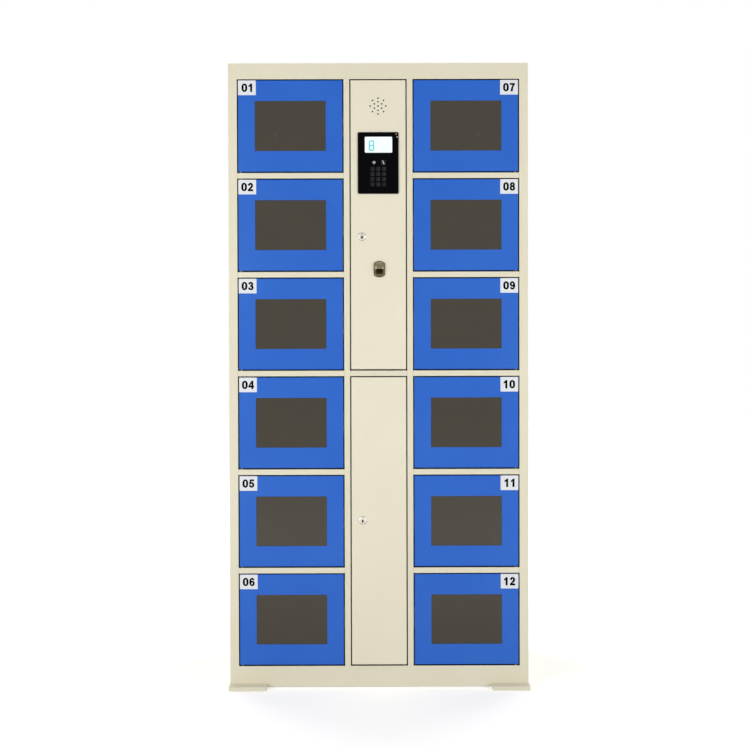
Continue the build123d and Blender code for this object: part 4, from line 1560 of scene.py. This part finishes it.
@dataclass
class Terminal:
    """The touch terminal: glass front with a lit display, two icons, twelve keys and two lamps.

    Places are right of and above the glass's middle.
    """

    frame: Frame
    body: str = "upper_service_door"
    film: float = 0.12
    screen: tuple[float, float, float, float] = (1.2, 54.6, 82.0, 47.5)
    mark: tuple[float, float, float, float] = (-20.0, 52.0, 16.5, 31.5)
    icon_level: float = 1.6
    icon_places: tuple[float, float] = (-12.4, 15.4)
    icon_size: float = 11.6
    arrow_size: float = 15.0
    key_size: float = 10.8
    key_pitch: tuple[float, float] = (17.3, 15.6)
    key_start: tuple[float, float] = (-16.8, -17.6)
    key_labels: tuple[str, ...] = ("123", "456", "789", "x0v")
    key_figure: float = 6.4
    key_line: float = 0.9
    lamps: tuple[tuple[float, float], ...] = ((54.0, 86.2), (57.0, 77.6))
    middle: np.ndarray = field(init=False)

    def __post_init__(self) -> None:
        """Read where the glass's front lies."""
        glass = Place.of("terminal_glass")
        self.middle = np.array((glass.middle[0], glass.low[1], glass.middle[2]))

    def build(self) -> None:
        """Finish the housing and glass, and add what is printed and lit behind the glass."""
        self.frame.finish("terminal_housing", BLACK_ABS)
        self.frame.finish("terminal_glass", GLASS)
        x, z, width, height = self.screen
        self.lamina("terminal_screen", RoundedRectangle(width, height, 3.0), (x, z), DISPLAY)
        self.display_mark()
        self.icons()
        self.keys()
        self.lamp_domes()
        LOG.info("terminal: display, mark, icons, keys and lamps")

    def at(self, place: tuple[float, float], out: float = 0.0) -> np.ndarray:
        """Return the point in space right of and above the glass's middle."""
        return self.middle + (place[0], -out, place[1])

    def lamina(
        self, name: str, outline: RoundedRectangle, place: tuple[float, float], finish: Finish
    ) -> bpy.types.Object:
        """Lay a thin sheet on the glass, with its rim eased by its own thickness.

        Args:
            name: the piece's name.
            outline: the sheet's outline.
            place: its middle, right of and above the glass's middle.
            finish: what it is made of.

        Returns:
            The new object.
        """
        steps = [(0, 0), (0, self.film * 0.6), (self.film * 0.4, self.film)]
        skin = slab(outline, steps, Facing.FRONT, self.at(place))
        return skin.piece(name, self.body, finish, "terminal_glass")

    def band(self, outline: RoundedRectangle, breadth: float, middle: np.ndarray) -> Skin:
        """Return a thin printed line round an outline: its outer and inner loop, twice over."""
        steps = [(0.0, 0.0), (0.0, self.film), (breadth, self.film), (breadth, 0.0)]
        return slab(outline, steps, Facing.FRONT, middle, ring=True)

    def display_mark(self) -> None:
        """Show one plain numeral on the display's left, as an upright ring with a bar in it."""
        x, z, width, height = self.mark
        middle = self.at((x, z), self.film)
        ring = self.band(RoundedRectangle(width, height, 5.0), 4.2, middle)
        bar = RoundedRectangle(width - 8.0, 3.4, 0.6)
        skins = [ring, slab(bar, [(0, 0), (0, self.film)], Facing.FRONT, middle)]
        Skin.joined(skins).piece("terminal_mark", self.body, DISPLAY_MARK, "terminal_glass")

    def icons(self) -> None:
        """Print an arrow on the left, and a slanting bar in a thin frame on the right."""
        sizes = (self.arrow_size, self.icon_size)
        for name, label, x, size in zip(("arrow", "card"), "ac", self.icon_places, sizes):
            middle = self.at((x, self.icon_level))
            mesh = numerals(label, size, Facing.FRONT, middle, self.film)
            dressed(mesh, f"terminal_{name}", self.body, ICON_INK)
        side = self.icon_size + 1.6
        frame = self.band(RoundedRectangle(side, side, 1.5), 0.8, middle)
        frame.piece("terminal_card_frame", self.body, KEY_INK, "terminal_glass")

    def keys(self) -> None:
        """Print the twelve touch keys: a thin square round each figure, in four rows of three."""
        skins = []
        square = RoundedRectangle(self.key_size, self.key_size, 2.0)
        for row, labels in enumerate(self.key_labels):
            for column, label in enumerate(labels):
                x = self.key_start[0] + column * self.key_pitch[0]
                z = self.key_start[1] - row * self.key_pitch[1]
                middle = self.at((x, z))
                skins.append(self.band(square, self.key_line, middle))
                mesh = numerals(label, self.key_figure, Facing.FRONT, middle, self.film)
                name = f"terminal_key_{row + 1}_{column + 1}"
                dressed(mesh, name, self.body, KEY_INK)
        Skin.joined(skins).piece("terminal_key_rings", self.body, KEY_INK, "terminal_glass")

    def lamp_domes(self) -> None:
        """Set the two small lamps in the glass's upper right corner, each a low dome."""
        dome = [(1.5, 0.0), (1.35, 0.22), (0.9, 0.4), (0.3, 0.48)]
        for name, place, finish in zip(("upper", "lower"), self.lamps, (LAMP_AMBER, LAMP_WHITE)):
            skin = turned(dome, Facing.FRONT, self.at(place))
            skin.piece(f"terminal_lamp_{name}", self.body, finish, "terminal_glass")


@dataclass
class Speaker:
    """The speaker behind the grille: square frame, paper cone with its dust cap, and magnet."""

    node: str = "speaker"
    body: str = "upper_service_door"
    frame_depth: float = 2.0
    frame_corner: float = 3.0
    cone: float = 27.5
    basket: float = 31.0
    basket_depth: float = 15.0
    magnet: float = 18.0
    pole: float = 10.0

    def build(self) -> None:
        """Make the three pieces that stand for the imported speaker."""
        box = Place.of(self.node)
        middle = np.array((box.middle[0], box.low[1], box.middle[2]))
        size, depth, _ = box.size
        plate = RoundedRectangle(size, size, self.frame_corner)
        hole = RoundedRectangle(2 * self.cone, 2 * self.cone, self.cone)
        deep, floor = -self.frame_depth, -self.basket_depth
        parts = [(plate, 0.0, 0.0), (plate, 0.0, deep), (hole, 0.0, deep), (hole, 0.0, 0.0)]
        basket = [(self.cone, deep), (self.basket, deep), (self.basket, -5.0), (22.0, floor + 0.5)]
        basket += [(19.0, floor), (self.pole, floor), (self.pole, floor + 0.8)]
        basket += [(21.0, -13.6), (self.cone, -5.0)]
        frame = carried(parts, Facing.FRONT, middle, ring=True)
        case = Skin.joined([frame, turned(basket, Facing.FRONT, middle, ring=True)])
        cone = [(27.3, -0.6), (26.0, -0.2), (24.5, -0.5), (9.0, -8.0), (8.5, -6.6), (5.5, -5.4)]
        cone += [(1.0, -5.0), (1.0, -8.6), (9.0, -8.9), (25.0, -1.4), (27.3, -1.2)]
        top = floor - 0.1
        magnet = [(self.pole, top), (self.magnet, top), (self.magnet, -depth), (4.0, -depth)]
        pieces = (
            ("speaker_case", case, SPEAKER_CASE),
            ("speaker_cone", turned(cone, Facing.FRONT, middle), SPEAKER_CONE),
            ("speaker_magnet", turned(magnet, Facing.FRONT, middle), FERRITE),
        )
        for name, skin, finish in pieces:
            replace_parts(skin.piece(name, self.body, finish, "black_plastic"), self.node)
        LOG.info("speaker: case, cone and magnet")


@dataclass
class ControlGear:
    """The power supply, the lock controller's board and the mains inlet in the column."""

    frame: Frame
    blade_box: tuple[float, float] = (8.5, 5.5)
    blade_depths: tuple[float, float] = (11.05, 0.5)
    strip_screws: int = 7
    strip_half_share: float = 0.42
    strip_rise: float = 7.0
    strip_depth: float = 12.0
    lift: float = 10.0
    laminate: float = 1.6
    post_radius: float = 3.0
    post_inset: float = 7.0
    relay: tuple[float, float, float] = (15.5, 19.0, 15.0)
    relay_pitch: float = 26.0
    relay_rise: float = 114.0
    header: tuple[float, float, float] = (9.7, 9.0, 11.0)
    headers: int = 11
    header_pitch: float = 10.0
    header_inset: float = 19.0
    chip: tuple[float, float, float] = (24.0, 24.0, 2.4)
    chip_rise: float = 48.0
    capacitor_places: tuple[float, ...] = (-52.0, -40.0, 40.0, 52.0)

    def build(self) -> None:
        """Finish the supply and the inlet, and build the board's parts."""
        self.frame.finish("power_supply", BRUSHED_CASE)
        inlet = Place.of("power_inlet")
        (x, _, z), (across, up), (start, end) = inlet.middle, self.blade_box, self.blade_depths
        low = (x - across, inlet.low[1] + start, z - up)
        high = (x + across, inlet.high[1] - end, z + up)
        moulding = BladedPlastic("black_moulded_inlet", "#17171a", low=low, high=high)
        self.frame.finish("power_inlet", moulding)
        self.supply_screws()
        self.board()

    def supply_screws(self) -> None:
        """Put a row of screws along the supply's terminal strip."""
        supply = Place.of("power_supply")
        half = self.strip_half_share
        skins = []
        for share in np.linspace(-half, half, self.strip_screws):
            x = supply.middle[0] + share * supply.size[0]
            spot = (x, supply.high[1] - self.strip_depth, supply.low[2] + self.strip_rise)
            skins.append(screw_head(Facing.FRONT, np.array(spot), radius=3.2))
        Skin.joined(skins).piece("supply_screws", "cabinet", STEEL_SCREW, "zinc_steel")
        LOG.info("supply_screws: %d", len(skins))

    def block(
        self, size: tuple[float, float, float], corner: float, place: np.ndarray, bevel: float
    ) -> Skin:
        """Mould a small block that stands out of the board, with its front edge bevelled.

        Args:
            size: its width, its height and how far it stands out.
            corner: its corners' radius.
            place: the middle of its back in space.
            bevel: its bevel's breadth.

        Returns:
            A closed skin.
        """
        width, height, depth = size
        steps = [(0.0, 0.0), (0.0, depth - bevel), (bevel, depth)]
        return slab(RoundedRectangle(width, height, corner), steps, Facing.FRONT, place)

    def board(self) -> None:
        """Build the lock controller: laminate on posts, relays, terminal blocks and chips."""
        node = "control_board"
        box = Place.of(node)
        width, _, height = box.size
        back = np.array((box.middle[0], box.high[1], box.middle[2]))
        base = back - (0, self.lift, 0)
        face = base - (0, self.laminate, 0)
        relays_at = face + (0, 0, self.relay_rise - height / 2)
        chip_at = face + (0, 0, self.chip_rise - height / 2)
        post, rise = Round(self.post_radius, hexagon=True), [(0.0, 0.0), (0.0, self.lift)]
        posts, headers, screws = [], [], []
        for up in (-1, 1):
            for across in (-1, 1):
                x, z = across * (width / 2 - self.post_inset), up * (height / 2 - self.post_inset)
                posts.append(slab(post, rise, Facing.FRONT, back + (x, 0, z)))
            level = up * (height / 2 - self.header_inset)
            for index in range(self.headers):
                spot = face + ((index - self.headers // 2) * self.header_pitch, 0, level)
                headers.append(self.block(self.header, 0.4, spot, 0.8))
                top = spot - (0, self.header[2], 0)
                screws.append(screw_head(Facing.FRONT, top, radius=1.9))
        relays = []
        for column in (-1.5, -0.5, 0.5, 1.5):
            for row in (-1, 0, 1):
                spot = relays_at + (column * self.relay_pitch, 0, row * self.relay_pitch)
                relays.append(self.block(self.relay, 0.8, spot, 0.6))
        can = [(4.0, 0.0), (4.0, 1.2), (3.7, 1.6), (4.0, 2.0), (4.0, 10.6), (3.6, 11.0)]
        places = [chip_at + (across, 0, 0) for across in self.capacitor_places]
        capacitors = [turned(can, Facing.FRONT, place) for place in places]
        laminate = self.block((width, height, self.laminate), 2.0, base, 0.2)
        chip = self.block(self.chip, 0.6, chip_at, 0.3)
        groups = (
            ("laminate", [laminate], LAMINATE, "circuit_board"),
            ("posts", posts, STEEL_SCREW, "zinc_steel"),
            ("relays", relays, RELAY_CASE, "circuit_board"),
            ("blocks", headers, HEADER_CASE, "circuit_board"),
            ("block_screws", screws, STEEL_SCREW, "zinc_steel"),
            ("chip", [chip], CHIP_CASE, "black_plastic"),
            ("capacitors", capacitors, CHIP_CASE, "black_plastic"),
        )
        for name, skins, finish, slot in groups:
            piece = Skin.joined(skins).piece(f"controller_{name}", "cabinet", finish, slot)
            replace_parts(piece, node)
            LOG.info("controller_%s: %d parts", name, len(skins))


@dataclass(frozen=True)
class SoftBox:
    """A square soft light in metres: its place, what it is aimed at, its side and its power."""

    name: str
    place: tuple[float, float, float]
    aim: tuple[float, float, float]
    side: float
    power: float

    def hang(self) -> None:
        """Hang the light, unseen by the camera, with its own -Z turned along its aim."""
        lamp = bpy.data.lights.new(self.name, "AREA")
        lamp.size = self.side
        lamp.energy = self.power
        light = bpy.data.objects.new(self.name, lamp)
        look = np.array(self.aim) - np.array(self.place)
        tilt = math.atan2(math.hypot(look[0], look[1]), -look[2])
        light.location = self.place
        light.rotation_euler = (tilt, 0.0, math.atan2(-look[0], look[1]))
        light.visible_camera = False
        bpy.context.scene.collection.objects.link(light)


@dataclass
class Studio:
    """The pale floor, the soft light and the camera where the photographer's stood."""

    floor_half: float = 14000.0
    floor_steps: int = 9
    focal_px: float = 968.5
    picture_px: float = 750.0
    sensor: float = 36.0
    place: tuple[float, float, float] = (-15.8, -3106.0, 971.5)
    pitch: float = -0.578
    yaw: float = -0.092
    roll: float = -0.151
    world_strength: float = 0.2
    background: float = 1.0
    near_glow: float = 0.36
    far_glow: float = 0.86
    glow_reach: tuple[float, float] = (0.9, 4.5)

    def build(self) -> None:
        """Lay the floor, light the room and set the camera."""
        self.floor()
        self.world()
        self.lights()
        self.camera()
        bpy.context.scene.view_settings.view_transform = "Standard"

    def floor(self) -> None:
        """Lay a flat floor: a grid of two parameters, level with the feet's undersides."""
        reach = np.linspace(-self.floor_half, self.floor_half, self.floor_steps)
        x, y = np.meshgrid(reach, reach)
        points = np.stack((x, y, np.zeros_like(x)), axis=-1).reshape(-1, 3) * MM
        mesh = bpy.data.meshes.new("studio_floor")
        mesh.from_pydata(points.tolist(), [], grid_faces(*x.shape).tolist())
        floor = bpy.data.objects.new("studio_floor", mesh)
        bpy.context.scene.collection.objects.link(floor)
        material = bpy.data.materials.new("matt_white_floor")
        material.use_nodes = True
        tree = material.node_tree
        tree.nodes.clear()
        diffuse = add_node(tree, "ShaderNodeBsdfDiffuse", {"Color": linear("#f4f3f1")}).outputs[0]
        spot = add_node(tree, "ShaderNodeTexCoord").outputs["Object"]
        away = add_node(tree, "ShaderNodeVectorMath", {0: spot}, operation="LENGTH").outputs[1]
        near, far = self.glow_reach
        span = {"Value": away, 1: near, 2: far, 3: self.near_glow, 4: self.far_glow}
        lift = {0: self.seen(tree), 1: add_node(tree, "ShaderNodeMapRange", span).outputs[0]}
        strength = add_node(tree, "ShaderNodeMath", lift, operation="MULTIPLY").outputs[0]
        light = {"Color": WHITE, "Strength": strength}
        glow = add_node(tree, "ShaderNodeEmission", light).outputs[0]
        both = add_node(tree, "ShaderNodeAddShader", {0: diffuse, 1: glow}).outputs[0]
        add_node(tree, "ShaderNodeOutputMaterial", {"Surface": both})
        mesh.materials.append(material)

    @staticmethod
    def seen(tree: Tree) -> Socket:
        """Tell whether a ray looks at the room, straight, mirrored or through glass.

        Args:
            tree: the node tree that asks.

        Returns:
            A socket that is one for such a ray, and otherwise nought.
        """
        path = add_node(tree, "ShaderNodeLightPath").outputs
        seen = path["Is Camera Ray"]
        for ray in ("Is Glossy Ray", "Is Transmission Ray"):
            add = {0: seen, 1: path[ray]}
            seen = add_node(tree, "ShaderNodeMath", add, operation="MAXIMUM").outputs[0]
        return seen

    def world(self) -> None:
        """Surround the object with a pale room that is pure white where it is looked at."""
        world = bpy.data.worlds.new("studio")
        bpy.context.scene.world = world
        world.use_nodes = True
        tree = world.node_tree
        tree.nodes.clear()
        span = {"Value": self.seen(tree), 3: self.world_strength, 4: self.background}
        strength = add_node(tree, "ShaderNodeMapRange", span).outputs[0]
        light = {"Color": WHITE, "Strength": strength}
        background = add_node(tree, "ShaderNodeBackground", light).outputs[0]
        add_node(tree, "ShaderNodeOutputWorld", {"Surface": background})

    def lights(self) -> None:
        """Hang five soft boxes: one off each corner of the object, and one over its roof.

        None of them stands where the front could mirror it to the camera.
        """
        SoftBox("key_box", (-2.7, -2.9, 1.6), (0.0, -0.2, 0.9), 1.8, 75.0).hang()
        SoftBox("fill_box", (2.7, -2.9, 1.4), (0.0, -0.2, 0.85), 1.8, 63.0).hang()
        SoftBox("back_left_box", (-2.7, 2.9, 1.7), (0.0, 0.2, 0.9), 1.8, 56.0).hang()
        SoftBox("back_right_box", (2.7, 2.9, 1.7), (0.0, 0.2, 0.9), 1.8, 56.0).hang()
        SoftBox("top_box", (0.0, 0.3, 4.2), (0.0, 0.0, 1.0), 2.0, 36.0).hang()

    def camera(self) -> None:
        """Set the camera by its place, pitch, yaw and roll, with the photograph's angle."""
        lens = bpy.data.cameras.new("camera")
        lens.sensor_width = self.sensor
        lens.lens = self.sensor * self.focal_px / self.picture_px
        camera = bpy.data.objects.new("camera", lens)
        bpy.context.scene.collection.objects.link(camera)
        yaw, pitch, roll = (math.radians(turn) for turn in (self.yaw, self.pitch, self.roll))
        forward = np.array((-math.sin(yaw), math.cos(yaw), 0.0))
        right = np.array((math.cos(yaw), math.sin(yaw), 0.0))
        ahead = math.cos(pitch) * forward + math.sin(pitch) * UP
        above = -math.sin(pitch) * forward + math.cos(pitch) * UP
        side = math.cos(roll) * right + math.sin(roll) * above
        above = -math.sin(roll) * right + math.cos(roll) * above
        turn = Matrix(np.stack((side, above, -ahead), axis=1).tolist())
        camera.matrix_world = Matrix.Translation(np.array(self.place) * MM) @ turn.to_4x4()
        bpy.context.scene.camera = camera


def main() -> None:
    """Load the frame, dress each sub-assembly in turn and set up the studio."""
    logging.basicConfig(level=logging.INFO, format="%(message)s")
    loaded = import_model()
    frame = Frame(loaded["nodes"])
    Cabinet(frame).build()
    for number in range(1, 2 * ROWS + 1):
        CompartmentDoor(frame, number).build()
    for door in ("upper", "lower"):
        frame.finish(f"{door}_door", CREAM_DOOR)
        bodies = (f"{door}_service_door", f"{door}_cam_lock")
        nodes = (f"{door}_lock_barrel", f"{door}_lock_cam")
        CamLock(*bodies, *nodes, marked=door == "upper").build()
    Terminal(frame).build()
    Speaker().build()
    FingerprintReader().build()
    ControlGear(frame).build()
    Studio().build()


if __name__ == "__main__":
    main()
